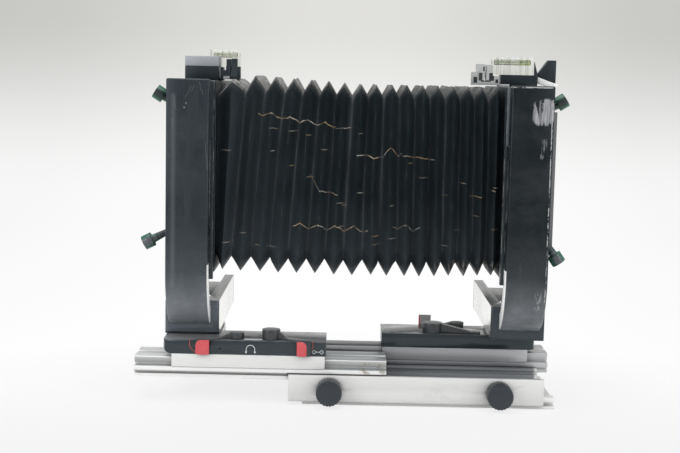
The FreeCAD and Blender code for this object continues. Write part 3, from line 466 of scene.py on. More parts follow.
# painted shadow: a dark line where the rail meets the housing rim
over(t, b, band(t, where, x=(housing_low.x - 2, high.x + 10), z=(rim - 0.9, rim + 1.5), soft=0.5),
     (0.05, 0.055, 0.06))
stain = band(t, where, x=(high.x - 26, high.x + 1), z=(low.z + 4.6, high.z - 1.4), soft=4)
spots = ramp(t, drawn_noise(t, (160, 160, 160), 5, 0.7), 0.50, 0.60, 0.0, 0.7)
over(t, b, times(t, stain, spots), (0.20, 0.15, 0.08))
print("front rail ends at", round(high.x, 1), "mm")

# %% Rear rail and the two clamps
# painted shade: a darker copy of the rail metal, as the rear rail lies in the front parts' shade, paler
# towards its back end
rear_rail_shaded_silver, t, b = aluminium("rear_rail_aluminium", (0.32, 0.33, 0.345), 0.34, metal=0.5, groove_shade=0.7)
low, high = box_mm("rear_rail")
over(t, b, along_rail(t, high.x - 26, high.x - 12, 0.6), (0.66, 0.66, 0.65))
clamp_silver = aluminium("front_clamp_aluminium", (0.74, 0.74, 0.72), 0.40, metal=0.3, lines=0.04)[0]
# painted shade: a darker copy of the clamp metal, paler towards its back end
rear_clamp_shaded_silver, t, b = aluminium("rear_clamp_aluminium", (0.40, 0.41, 0.42), 0.36, metal=0.6)
low, high = box_mm("rear_rail_clamp")
over(t, b, along_rail(t, low.x + 22.5, high.x + 2, 0.5), (0.62, 0.62, 0.62))
print("rails and clamps", rear_rail_shaded_silver.name, clamp_silver.name, rear_clamp_shaded_silver.name)

# %% Housing
housing_silver, t, b = aluminium("housing_aluminium", (0.70, 0.70, 0.68), 0.5, stain=0.10, metal=0.25,
                                 lines=0.03)
where = place_of(t)
low, high = box_mm("track_housing")
smudge = ramp(t, drawn_noise(t, (45, 45, 90), 5, 0.7), 0.52, 0.66, 0.0, 0.3)
middle = band(t, where, x=(low.x + 101, low.x + 191), z=(low.z - 0.5, low.z + 20.5), soft=9)
over(t, b, times(t, smudge, middle), (0.36, 0.36, 0.35))
# painted shade on the top and inside of the housing, away from its two side faces
inner = band(t, where, x=(low.x - 5, high.x - 2), y=(low.y + 2, high.y - 2), soft=2)
over(t, b, times(t, inner, 0.85), (0.15, 0.162, 0.175))
print("housing is", round(high.x - low.x, 1), "mm long")

# %% Cross legs
leg_silver, t, b = aluminium("leg_aluminium", (1.0, 0.995, 0.965), 0.26, (900, 6, 900), metal=0.85,
                             groove_shade=0.3, lines=0.03)
up = upward(t)
# painted shade: the upper faces are grey, in place of the darker reflection they show
over(t, b, times(t, up, 0.85), (0.30, 0.30, 0.31))
t.links.new(ramp(t, up, 0.0, 1.0, 0.85, 0.25), b.inputs["Metallic"])
print("legs", leg_silver.name)

# %% [markdown]
# ## Small parts
# The rail levers are dark cast metal, and the first rear one has a pale tip with a red
# rim. The clamp levers carry a green plastic barrel over a dark core, which shows
# through where the plastic is thin, on the two sides. The levels are clear acrylic
# with a yellow-green fluid, and the screen is ground glass.

# %% Rail levers
CAST = (0.034, 0.038, 0.041)


def cast_lever(name, lit_top_colour):
    """Dark cast metal, its upper faces painted paler as if lit from above."""
    m, t, b = start_finish(name, CAST, 0.34)
    t.links.new(mix(t, upward(t), CAST, lit_top_colour), b.inputs["Base Color"])
    bump(t, b, noise(t, place_of(t), 900, 3), 0.00010, 0.5)
    return m


lever_grey = cast_lever("lever_dark_metal", (0.12, 0.123, 0.127))
rear_lever_grey = cast_lever("rear_lever_metal", (0.22, 0.222, 0.222))
pale_lever, t, b = black_paint("lever_pale_metal", (0.10, 0.105, 0.11), wear=0.0, scratches=0.0,
                               dust=0.05, rough=0.4)
where = place_of(t)
low, high = box_mm("rear_lever_a")
upper = (high.z - 10.9, high.z + 3.1)
over(t, b, band(t, where, x=(low.x - 1, low.x + 12.5), z=upper, soft=0.6), (0.46, 0.455, 0.45))
over(t, b, band(t, where, x=(low.x - 1, low.x + 1.6), z=upper, soft=0.5), (0.62, 0.10, 0.10))
PAD_RED = (0.55, 0.072, 0.082)
red_tip, t, b = start_finish("lever_red_pad", PAD_RED, 0.35)
worn_red = ramp(t, noise(t, place_of(t), 260, 3), 0.55, 0.75, 0.0, 0.4)
t.links.new(mix(t, worn_red, PAD_RED, (0.64, 0.16, 0.15)), b.inputs["Base Color"])
red_line = start_finish("red_edge_line", (0.50, 0.075, 0.035), 0.5)[0]
white_mark = start_finish("white_symbol", (0.60, 0.61, 0.61), 0.6)[0]
print("levers", lever_grey.name, rear_lever_grey.name, pale_lever.name)

# %% Bellows clips
# painted shadows in the pockets, in mm from the rear clip's low corner: along, up, width, height
CLIP_POCKET_SHADOWS = ((1, 3, 4, 6), (6, 5, 4, 8), (10, 14, 3, 5), (16, 5, 5, 8), (20, 14, 2, 5), (22, 3, 3, 4),
                (8, 4, 10, 2))
CLIP_DARK = (0.009, 0.012, 0.014)
CLIP_GREY = (0.40, 0.41, 0.40)
grey_plastic = start_finish("grey_moulding", (0.16, 0.165, 0.17), 0.5)[0]
clip_dark, t, b = start_finish("clip_dark_moulding", CLIP_DARK, 0.4, Specular_Tint=BLUISH)
where = place_of(t)
low, high = box_mm("front_bellows_clip")
foot = band(t, where, x=(low.x + 4, low.x + 10.5), z=(low.z + 1.5, low.z + 4.5), soft=0.6)
window = band(t, where, x=(low.x + 4.4, low.x + 6.8), z=(low.z + 11.5, low.z + 18.5), soft=0.5)
t.links.new(mix(t, greatest(t, foot, window), CLIP_DARK, (0.34, 0.35, 0.35)), b.inputs["Base Color"])
clip_grey, t, b = start_finish("clip_grey_moulding", CLIP_GREY, 0.45)
where = place_of(t)
low, high = box_mm("rear_bellows_clip")
# painted shadow in each pocket between the grey prongs
pocket_shadows = 0.0
for dx, dz, wide, tall in CLIP_POCKET_SHADOWS:
    x, z = low.x + dx, low.z + dz
    pocket_shadows = greatest(t, band(t, where, x=(x, x + wide), z=(z, z + tall), soft=0.4), pocket_shadows)
t.links.new(mix(t, pocket_shadows, CLIP_GREY, (0.012, 0.014, 0.016)), b.inputs["Base Color"])
print("clips", clip_dark.name, clip_grey.name, "with", len(CLIP_POCKET_SHADOWS), "pocket_shadows")

# %% Levels and screen
acrylic, t, b = start_finish("clear_acrylic", (0.95, 0.97, 0.94), 0.05, Transmission_Weight=1.0, IOR=1.2)
# darker streaks along X in the clear acrylic
acrylic_streaks = ramp(t, drawn_noise(t, (460, 12, 8), 4, 0.7), 0.50, 0.66, 0.0, 0.85)
t.links.new(mix(t, acrylic_streaks, (0.94, 0.955, 0.92), (0.50, 0.54, 0.46)), b.inputs["Base Color"])
fluid, t, b = start_finish("level_fluid", (0.93, 0.96, 0.78), 0.08, Transmission_Weight=0.95, IOR=1.12)
low, high = box_mm("rear_vial")
tail = along_rail(t, high.x - 14, high.x - 8, 1.0)
t.links.new(mix(t, tail, (0.90, 0.93, 0.80), (0.80, 0.88, 0.40)), b.inputs["Base Color"])
front_fluid = start_finish("front_level_fluid", (0.93, 0.95, 0.85), 0.08, Transmission_Weight=0.95,
                           IOR=1.12)[0]
screen = start_finish("ground_screen", (0.78, 0.80, 0.80), 0.55, Transmission_Weight=0.7, IOR=1.5)[0]
print("clear parts", acrylic.name, fluid.name, front_fluid.name, screen.name)

# %% Clamp levers
joint_at = {j["name"]: j for j in record["behaviour"]["joints"]}


def clamp_lever_finish(name, joint, head_from, green, inside):
    """Dark hub and neck, then a green barrel with its core showing on the near and far sides."""
    m, t, b = start_finish(name, green, 0.30)
    where = place_of(t)
    hinge = joint_at[joint]["pos_m"]
    flat = node(t, "ShaderNodeVectorMath", operation="MULTIPLY", i0=where, i1=(1, 0, 1))
    reach = node(t, "ShaderNodeVectorMath", out=1, operation="DISTANCE", i0=flat, i1=(hinge[0], 0, hinge[2]))
    side = maths(t, "ABSOLUTE", split(t, node(t, "ShaderNodeTexCoord", out=1))[1])
    base = mix(t, ramp(t, side, 0.68, 0.93, 0.0, 0.9), green, inside)
    dark = ramp(t, reach, (head_from - 0.4) * MM, (head_from + 0.4) * MM, 1.0, 0.0)
    base = mix(t, dark, base, (0.022, 0.030, 0.033))
    collar = band(t, node(t, "ShaderNodeCombineXYZ", i0=reach), x=(head_from - 3, head_from - 1.6), soft=0.4)
    base = mix(t, times(t, collar, 0.6), base, green)
    t.links.new(base, b.inputs["Base Color"])
    bump(t, b, noise(t, where, 700, 2), 0.00008, 0.4)
    return m


clamp_finishes = {}
for place, head_from, green, inside in (("top", 7.0, (0.006, 0.095, 0.048), (0.014, 0.017, 0.021)),
                                        ("low", 17.2, (0.030, 0.120, 0.082), (0.085, 0.083, 0.096))):
    for end in ("front", "rear"):
        n = "%s_clamp_%s" % (end, place)
        finish = clamp_lever_finish(n + "_finish", n + "_turn", head_from, green, inside)
        clamp_finishes[n + "_lever"] = finish
print("clamp levers", sorted(clamp_finishes))

# %% Finish for each material slot
finish_for = {
    "aluminium": rail_silver, "steel": steel, "black_plastic": plastic, "black_paint": paint,
    "lever_grey": lever_grey, "acrylic": acrylic, "vial": fluid,
    "grey_plastic": grey_plastic, "ground_glass": screen, "bellows_cloth": plastic,
}
print("slots", sorted(finish_for))

# %% [markdown]
# ## Soft edges on the solids
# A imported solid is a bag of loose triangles, so its edges cannot be rounded as it
# is. A copy is merged, its flat faces are joined again, and a small bevel goes on
# the sharp edges. The copy then takes the solid's place on the same body.

# %% Meshes and modifiers
def add_mesh(name, bm):
    """Turns a bmesh into an object of the scene."""
    me = bpy.data.meshes.new(name)
    bm.to_mesh(me)
    bm.free()
    o = bpy.data.objects.new(name, me)
    bpy.context.scene.collection.objects.link(o)
    return o


def clean_copy(name, source):
    """A copy of a solid's mesh, merged, with its flat faces joined."""
    me = frame["nodes"][source].data.copy()
    me.materials.clear()
    bm = bmesh.new()
    bm.from_mesh(me)
    bmesh.ops.remove_doubles(bm, verts=bm.verts, dist=2e-6)
    bmesh.ops.dissolve_limit(bm, angle_limit=math.radians(1.0), verts=bm.verts, edges=bm.edges)
    bm.to_mesh(me)
    bm.free()
    me.name = name
    o = bpy.data.objects.new(name, me)
    bpy.context.scene.collection.objects.link(o)
    return o


def apply_modifiers(o):
    """Turns the evaluated object into a plain mesh on the same object."""
    dg = bpy.context.evaluated_depsgraph_get()
    me = bpy.data.meshes.new_from_object(o.evaluated_get(dg), preserve_all_data_layers=True, depsgraph=dg)
    o.modifiers.clear()
    o.data = me


print("mesh helpers ready")

# %% Dress one solid
BEVEL_ABOVE = math.radians(32)
SHARP_ABOVE = math.radians(40)


def shade_smooth(o, smooth=True):
    o.data.polygons.foreach_set("use_smooth", [smooth] * len(o.data.polygons))


def round_edges(o, width, segments=2):
    """Bevels the sharp edges and shades the rest smooth."""
    mod = o.modifiers.new("soft_edges", "BEVEL")
    mod.width = width
    mod.segments = segments
    mod.limit_method = "ANGLE"
    mod.angle_limit = BEVEL_ABOVE
    mod.use_clamp_overlap = True
    mod.harden_normals = False
    apply_modifiers(o)
    shade_smooth(o)
    o.data.set_sharp_from_angle(angle=SHARP_ABOVE)


def dress(source, finish, width):
    """Rounds a copy of a solid and lets it stand for the solid."""
    o = clean_copy("dressed_" + source, source)
    round_edges(o, width)
    o.data.materials.clear()
    o.data.materials.append(finish or finish_for[slot_of[source]])
    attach(o, body_of[source])
    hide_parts(source)


print("solids to dress", len(slot_of) - 1)

# %% [markdown]
# ## The bellows
# Folded cloth makes a square tube of seventeen pleats. Its shape follows a
# rule, so Geometry Nodes make it: a grid is laid round a square with cut corners,
# and a triangle wave draws every other line inwards. The cloth is not new, so each
# fold leans and wanders a little, from noise with a fixed place.

# %% Bellows sizes
PLEATS = 17
STEPS_A_PLEAT = 8
STEPS_ROUND = 96
SPREAD = 0.20
bel_low, bel_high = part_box("bellows")
bel_mid = (bel_low + bel_high) / 2
bel_half = (bel_high.z - bel_low.z) / 2
bel_length = bel_high.x - bel_low.x
print("bellows", round(bel_length, 3), "m long,", round(2 * bel_half, 3), "m square")


# %% Bellows section
def section_point(t, side, corner_round, share):
    """The point at a share of the way round a square with cut corners."""
    quad = node(t, "GeometryNodeCurvePrimitiveQuadrilateral", in_Width=side, in_Height=side)
    cut_corners = node(t, "GeometryNodeFilletCurve", mode="POLY", in_Curve=quad, in_Count=2,
                       in_Limit_Radius=True, in_Radius=corner_round)
    at = node(t, "GeometryNodeSampleCurve", out="Position", mode="FACTOR", in_Curves=cut_corners,
              in_Factor=share)
    return split(t, at)


def arch(t, u):
    """0 at both ends of the tube and a quarter in its middle."""
    return times(t, u, minus(t, 1.0, u))


print("section of", STEPS_ROUND, "steps")


# %% Folded point
def folded_point(t, g, u, v):
    """Height in the fold and place of the point at u along the tube and v round it."""
    half, pleats = g["Half side"], g["Pleats"]
    section = section_point(t, times(t, half, 2.0), g["Corner round"], v)
    sy, sz = section[0], section[1]
    # the pleats: a triangle wave, 0 at the end plates and in the valleys
    turns = times(t, u, pleats)
    crest = times(t, maths(t, "PINGPONG", turns, 0.5), 2.0)
    number = maths(t, "FLOOR", turns)
    where = node(t, "ShaderNodeCombineXYZ", i0=times(t, number, 3.7), i1=sy, i2=sz)
    off = minus(t, noise(t, where, 7, 2), 0.5)
    drop = times(t, minus(t, 1.0, crest), g["Pleat depth"])
    drop = plus(t, drop, times(t, maths(t, "ABSOLUTE", off), 5 * MM))
    size = minus(t, 1.0, maths(t, "DIVIDE", drop, half))
    y = times(t, sy, size)
    z = times(t, sz, size)
    # the cloth is pushed up behind the front frame and sags a little underneath
    up = maths(t, "DIVIDE", z, half)
    hump = times(t, ramp(t, u, 0.0, 0.07), ramp(t, u, 0.10, 0.44, 1.0, 0.0), ramp(t, up, 0.55, 1.0))
    z = plus(t, z, times(t, hump, g["Front lift"]))
    belly = times(t, arch(t, u), 4.0, ramp(t, up, -0.4, -1.0))
    z = minus(t, z, times(t, belly, g["Sag"]))
    # along the tube: wider pleats at the front, leaning folds, a little wander
    even = plus(t, times(t, u, 1.0 + SPREAD), times(t, u, u, -SPREAD))
    x = times(t, minus(t, even, 0.5), g["Length"])
    tilt = times(t, plus(t, maths(t, "DIVIDE", sz, half), 0.22), g["Lean"])
    tilt = times(t, tilt, ramp(t, u, 0.20, 0.62, 1.0, -0.12))
    wander = times(t, off, 4.0, g["Wander"])
    held = ramp(t, arch(t, u), 0.0, 0.045)
    x = plus(t, x, times(t, plus(t, tilt, wander), held))
    return crest, node(t, "ShaderNodeCombineXYZ", i0=x, i1=y, i2=z)


print("fold of", STEPS_A_PLEAT, "steps a pleat")


# %% Bellows tree
def bellows_tree():
    """The folded tube, with the middle of its length at the origin."""
    t = bpy.data.node_groups.new("folded_bellows", "GeometryNodeTree")
    t.interface.new_socket(name="Geometry", in_out="OUTPUT", socket_type="NodeSocketGeometry")
    for name, kind, value in (("Length", "Float", bel_length), ("Half side", "Float", bel_half),
                              ("Pleats", "Int", PLEATS), ("Pleat depth", "Float", 12 * MM),
                              ("Corner round", "Float", 15 * MM), ("Lean", "Float", 6.2 * MM),
                              ("Wander", "Float", 1.3 * MM), ("Front lift", "Float", 6 * MM),
                              ("Sag", "Float", 3.5 * MM), ("Cloth", "Material", None)):
        socket = t.interface.new_socket(name=name, in_out="INPUT", socket_type="NodeSocket" + kind)
        if value is not None:
            socket.default_value = value
    g = t.nodes.new("NodeGroupInput").outputs
    # a grid: X steps along the tube, Y steps round it
    steps = plus(t, times(t, g["Pleats"], STEPS_A_PLEAT), 1.0)
    grid = node(t, "GeometryNodeMeshGrid", in_Size_X=1.0, in_Size_Y=1.0, in_Vertices_X=steps,
                in_Vertices_Y=STEPS_ROUND + 1)
    flat = split(t, node(t, "GeometryNodeInputPosition"))
    u = plus(t, flat[0], 0.5)
    v = plus(t, flat[1], 0.5)
    crest, spot = folded_point(t, g, u, v)
    # each point's height in its fold is kept for the finish, while the grid lies flat
    kept = node(t, "GeometryNodeStoreNamedAttribute", data_type="FLOAT", domain="POINT", in_Geometry=grid,
                in_Name="crest", in_Value=crest)
    put = node(t, "GeometryNodeSetPosition", in_Geometry=kept, in_Position=spot)
    weld = node(t, "GeometryNodeMergeByDistance", in_Geometry=put, in_Distance=0.02 * MM)
    real = node(t, "GeometryNodeRealizeInstances", i0=weld)
    cover = node(t, "GeometryNodeSetMaterial", in_Geometry=real, in_Material=g["Cloth"])
    out = t.nodes.new("NodeGroupOutput")
    t.links.new(cover, out.inputs[0])
    return t


tree = bellows_tree()
print("bellows tree of", len(tree.nodes), "nodes")

# %% [markdown]
# ### Cloth
# The cloth is black, with painted light pale down in the folds and worn grey with a painted
# highlight on the faces that look up; its coating has rubbed off and frayed under the rear
# end. Creases cross the pleats on the near side. The long ones are placed one by one, each
# between two points, and a wave of noise makes them wander. The short ones are scattered
# over the pleats by rule.

# %% Creases
LONG_CREASES = (
    # in mm from the low front corner: from along, from up, to along, to up, and the rise at
    # the crests; then how plain
    (38, 146, 110, 135, 4, 1.0), (110, 135, 124, 136, 0, 0.6), (130, 113, 155, 109, -2, 0.9),
    (154, 109, 172, 110, 9, 0.9), (172, 111, 202, 107, 1, 0.6), (72, 41, 142, 38, 6, 0.8),
    (165, 42, 190, 40, 6, 0.5), (87, 92, 96, 77, 0, 0.55), (96, 77, 114, 74, 0, 0.55),
)
CREASE_LOW, CREASE_HIGH = 24, 136


def short_creases():
    """One to three short creases on each pleat: along, up and length in mm, how plain."""
    draw = random.Random(5)
    step = bel_length / PLEATS / MM
    creases = []
    for i in range(PLEATS):
        for _ in range(draw.choice((1, 2, 2, 3))):
            along = (i + draw.uniform(0.3, 0.7)) * step
            up = draw.uniform(CREASE_LOW, CREASE_HIGH)
            creases.append((along, up, draw.uniform(4, 10), draw.uniform(0.4, 0.9)))
    return creases


def apart(t, a, b):
    return maths(t, "ABSOLUTE", minus(t, a, b))


def crease_mask(t, where, crest):
    """1 on the creases: the long wandering ones, then short ones that fade at both ends."""
    axes = split(t, where)
    x, z = minus(t, axes[0], bel_low.x), minus(t, axes[2], bel_low.z)
    wave = times(t, minus(t, noise(t, where, 75, 3, 0.6), 0.5), 5 * MM)
    broken = ramp(t, noise(t, where, 130, 2), 0.36, 0.50, 0.25, 1.0)
    total = 0.0
    for x0, z0, x1, z1, rise, plain in LONG_CREASES:
        centre = plus(t, ramp(t, x, x0 * MM, x1 * MM, z0 * MM, z1 * MM), wave)
        centre = plus(t, centre, times(t, crest, rise * MM))
        line = ramp(t, apart(t, z, centre), 0.22 * MM, 0.62 * MM, plain, 0.0)
        begun = maths(t, "GREATER_THAN", x, x0 * MM)
        not_over = maths(t, "LESS_THAN", x, x1 * MM)
        total = greatest(t, times(t, line, begun, not_over, broken), total)
    height = minus(t, z, times(t, wave, 0.6))
    for along, up, length, plain in short_creases():
        line = ramp(t, apart(t, height, up * MM), 0.15 * MM, 0.60 * MM, plain * 0.8, 0.0)
        faded = ramp(t, apart(t, x, along * MM), length * 0.1 * MM, length * 0.6 * MM, 1.0, 0.0)
        total = greatest(t, times(t, line, faded), total)
    return total


print("creases", len(LONG_CREASES), "long,", len(short_creases()), "short")


# %% Bellows cloth
def bellows_cloth():
    """Black coated cloth: painted light along the folds, wear and a painted highlight on top, creased across
    them.
    """
    m, t, b = start_finish("bellows_cloth", (0.009, 0.013, 0.015), 0.55, Specular_IOR_Level=0.3,
                           Specular_Tint=BLUISH)
    where = place_of(t)
    axes = split(t, where)
    x, y, z = minus(t, axes[0], bel_low.x), axes[1], minus(t, axes[2], bel_low.z)
    crest = node(t, "ShaderNodeAttribute", out=2, attribute_name="crest")
    base = mix(t, ramp(t, noise(t, where, 35, 4), 0.35, 0.7), (0.0045, 0.0075, 0.009), (0.009, 0.013, 0.015))
    # painted light: pale down in the folds, and palest in a fine line along the fold itself
    base = mix(t, ramp(t, crest, 0.08, 0.50, 0.5, 0.0), base, (0.060, 0.070, 0.078))
    thread = ramp(t, drawn_noise(t, (160, 160, 22)), 0.35, 0.65, 0.3, 1.0)
    base = mix(t, times(t, ramp(t, crest, 0.02, 0.16, 0.75, 0.0), thread), base, (0.14, 0.155, 0.165))
    # paler low down and towards the front
    paler_low_front = plus(t, ramp(t, z, 73 * MM, 8 * MM, 0.0, 0.11), ramp(t, x, 92 * MM, 12 * MM, 0.0, 0.045))
    base = mix(t, paler_low_front, base, (0.16, 0.18, 0.20))
    # worn grey and a painted highlight on the faces that look up, palest along their ridges
    facing = split(t, node(t, "ShaderNodeTexCoord", out=1))
    sky = minus(t, facing[2], times(t, maths(t, "ABSOLUTE", facing[1]), 2.0))
    sky = ramp(t, sky, -0.12, 0.20)
    streak = ramp(t, drawn_noise(t, (500, 30, 30), 4, 0.7), 0.40, 0.60, 0.35, 1.0)
    grey = mix(t, ramp(t, x, 192 * MM, 52 * MM), (0.090, 0.092, 0.090), (0.30, 0.29, 0.275))
    base = mix(t, times(t, sky, streak), base, grey)
    patchy = ramp(t, drawn_noise(t, (300, 60, 60), 4, 0.7), 0.46, 0.66)
    ridge = times(t, ramp(t, crest, 0.55, 1.0), patchy, ramp(t, sky, 0.4, 0.9, 0.0, 0.8))
    base = mix(t, ridge, base, (0.38, 0.36, 0.33))
    # frayed under the rear end, and a little wear on every crest
    tufts = ramp(t, drawn_noise(t, (260, 60, 45), 4, 0.7), 0.52, 0.62, 0.0, 0.55)
    end, floor = bel_high.x / MM, bel_low.z / MM
    under_end = band(t, where, x=(end - 63, end + 3), z=(floor - 6, floor + 16), soft=6)
    base = mix(t, times(t, under_end, tufts), base, (0.50, 0.43, 0.38))
    worn = times(t, ramp(t, crest, 0.93, 1.0), ramp(t, noise(t, where, 60, 4), 0.50, 0.62), 0.3)
    base = mix(t, worn, base, (0.07, 0.08, 0.08))
    near = maths(t, "LESS_THAN", y, bel_mid.y)
    tan = mix(t, ramp(t, noise(t, where, 55, 2), 0.42, 0.58), (0.42, 0.30, 0.17), (0.46, 0.43, 0.38))
    base = mix(t, times(t, crease_mask(t, where, crest), near), base, tan)
    t.links.new(base, b.inputs["Base Color"])
    weave = plus(t, noise(t, where, 900, 2), times(t, noise(t, where, 120, 4), 2.0))
    bump(t, b, weave, 0.0003, 0.5)
    return m


cloth = bellows_cloth()
print("cloth", cloth.name, "of", len(cloth.node_tree.nodes), "nodes")

# %% [markdown]
# ### Cutting the bellows at the joints
# The tube crosses ten joints, from one frame down to the rails and up to the other.
# A piece can bend across one joint only, so the finished mesh is cut square into ten
# lengths. The joints of the rails and the two swings get the longest ones.

# %% Make the bellows
holder = bpy.data.objects.new("bellows_holder", bpy.data.meshes.new("bellows_holder"))
bpy.context.scene.collection.objects.link(holder)
folds = holder.modifiers.new("folds", "NODES")
folds.node_group = tree
for item in tree.interface.items_tree:
    if item.item_type == "SOCKET" and item.in_out == "INPUT" and item.name == "Cloth":
        folds[item.identifier] = cloth
apply_modifiers(holder)
holder.data.transform(Matrix.Translation(bel_mid))
print("bellows points", len(holder.data.vertices))

# %% Cut the bellows
SPANS = (23, 16, 16, 32, 45, 45, 32, 16, 16, 23)
BEYOND = 20 * MM


def cut_length(source, low, high, name):
    """The stretch of the tube between two places along it."""
    bm = bmesh.new()
    bm.from_mesh(source.data)
    for x, keep_above in ((low, True), (high, False)):
        geom = bm.verts[:] + bm.edges[:] + bm.faces[:]
        bmesh.ops.bisect_plane(bm, geom=geom, plane_co=(x, 0, 0), plane_no=(1, 0, 0), dist=1e-6,
                               clear_inner=keep_above, clear_outer=not keep_above)
    o = add_mesh(name, bm)
    o.data.materials.append(cloth)
    shade_smooth(o, False)
    return o


scale = bel_length / sum(SPANS)
cuts = [bel_low.x]
for span in SPANS:
    cuts.append(cuts[-1] + span * scale)
for i in range(len(SPANS)):
    low = cuts[i] if i else cuts[i] - BEYOND
    high = cuts[i + 1] if i + 1 < len(SPANS) else cuts[i + 1] + BEYOND
    piece = cut_length(holder, low, high, "bellows_length_%d" % (i + 1))
    thick = piece.modifiers.new("cloth_thickness", "SOLIDIFY")
    thick.thickness = 0.5 * MM
    thick.offset = 0
    apply_modifiers(piece)
    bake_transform(piece)
    if i == 0:
        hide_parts("bellows")
bpy.data.objects.remove(holder)
print("bellows cut at", [round(x / MM) for x in cuts])

# %% [markdown]
# ## All the other solids
# The remaining solids are rounded and get their finish here. The painted castings
# have wider rounds than the rest. A piece without a finish of its own takes the one
# of its material slot.

# %% Dress the solids
SOFT_EDGE = 0.35
soft_edge_of = {"front_upright": 1.6, "rear_upright": 1.6, "front_frame": 1.2, "rear_frame": 1.2,
                "front_carriage": 1.2, "rear_carriage": 1.0, "front_turntable": 0.6, "rear_turntable": 0.6,
                "front_leg_nose": 1.1, "rear_leg_nose": 1.1}
finish_of = {
    "track_housing": housing_silver, "base_rail": base_silver,
    "front_rail_clamp": clamp_silver, "rear_rail_clamp": rear_clamp_shaded_silver,
    "rear_rail": rear_rail_shaded_silver, "rear_rack": rear_rail_shaded_silver,
    "front_focus_knob": knob_plastic, "rear_focus_knob": knob_plastic,
    "front_carriage": carriage_paint, "rear_carriage": carriage_paint,
    "rear_lever_a": pale_lever, "rear_lever_b": rear_lever_grey,
    "front_turntable": foot_paint, "rear_turntable": foot_paint,
    "front_leg": leg_silver, "rear_leg": leg_silver,
    "front_leg_nose": lit_nose_paint, "rear_leg_nose": foot_paint,
    "front_upright": front_upright_paint, "rear_upright": rear_upright_paint,
    "front_level_plate": plate_silver, "front_vial": front_fluid,
    "front_bellows_clip": clip_dark, "rear_bellows_clip": clip_grey,
    **clamp_finishes,
}
for n in sorted(slot_of):
    if n != "bellows":
        dress(n, finish_of.get(n), soft_edge_of.get(n, SOFT_EDGE) * MM)
print("dressed", len(slot_of) - 1, "with", len(finish_of), "finishes of their own")

# %% [markdown]
# ## Pads, lines and symbols on the front carriage
# Each front lever ends in a red pad that wraps over its tip, made as a rounded slab a
# little larger than the tip. The carriage carries two thin red lines and two plain
# symbols, an arc with two arrowheads for turning and two linked diamonds for
# sliding. Each symbol is a flat outline with a little thickness, laid on the metal.

# %% Slabs from outlines
def slab(name, loops, y, thick, finish, body, soften=0.0):
    """Flat outlines in X and Z, each thickened from y towards the near side."""
    bm = bmesh.new()
    for loop in loops:
        near = [bm.verts.new((x, y - thick, z)) for x, z in loop]
        far = [bm.verts.new((x, y, z)) for x, z in loop]
        bm.faces.new(near)
        bm.faces.new(far[::-1])
        for i in range(len(loop)):
            j = (i + 1) % len(loop)
            bm.faces.new((near[i], far[i], far[j], near[j]))
    bmesh.ops.recalc_face_normals(bm, faces=bm.faces)
    o = add_mesh(name, bm)
    o.data.materials.append(finish)
    if soften:
        round_edges(o, soften, 3)
        o.data.materials.clear()
        o.data.materials.append(finish)
    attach(o, body)


print("slab helper ready")


# %% Outlines
def rounded_box(x0, x1, z0, z1, radii):
    """Outline of a box whose corners, from low left and anticlockwise, have these radii."""
    corners = ((x0, z0, 1, 1, 180), (x1, z0, -1, 1, 270), (x1, z1, -1, -1, 0), (x0, z1, 1, -1, 90))
    points = []
    for (cx, cz, sx, sz, start), r in zip(corners, radii):
        for k in range(7):
            a = math.radians(start + 15 * k)
            points.append((cx + sx * r + r * math.cos(a), cz + sz * r + r * math.sin(a)))
    return points


def ring_part(cx, cz, radius, width, start, stop, steps=14):
    """Outline of a bent bar: part of a ring."""
    turns = [math.radians(start + (stop - start) * k / steps) for k in range(steps + 1)]
    far, near = radius + width / 2, radius - width / 2
    outer = [(cx + far * math.cos(a), cz + far * math.sin(a)) for a in turns]
    inner = [(cx + near * math.cos(a), cz + near * math.sin(a)) for a in turns]
    return outer + inner[::-1]


def arrowhead(x, z, size):
    """Outline of a triangle that points down."""
    return [(x - size, z + size * 0.6), (x, z - size), (x + size, z + size * 0.6)]


def bar(x0, z0, x1, z1, width):
    """Outline of a straight bar between two points."""
    d = Vector((x1 - x0, z1 - z0)).normalized() * (width / 2)
    return [(x0 - d.y, z0 + d.x), (x0 + d.y, z0 - d.x), (x1 + d.y, z1 - d.x), (x1 - d.y, z1 + d.x)]


def mm(outline):
    """An outline given in mm, in metres."""
    return [(x * MM, z * MM) for x, z in outline]


def bent_line(points, width):
    """Outlines of the bars that join a row of points."""
    return [mm(bar(*p, *q, width)) for p, q in zip(points, points[1:])]


print("outline helpers ready")

# %% Pads
OVERLAP = 0.3
for n, wide, inset, radii in (("front_lever_a", 12.6, -OVERLAP, (2.2, 2.2, 0.8, 5.5)),
                              ("front_lever_b", 9.2, 3.4, (2.2, 2.2, 5.0, 0.8))):
    low, high = box_mm(n)
    x0 = low.x + inset if inset < 0 else high.x - inset - wide
    pad = rounded_box(x0, x0 + wide, low.z - OVERLAP, low.z + 13.6, radii)
    slab(n + "_pad", [mm(pad)], (low.y + 1.2) * MM, 1.7 * MM, red_tip, body_of[n], 0.5 * MM)
    print(n, "pad", wide, "mm wide")

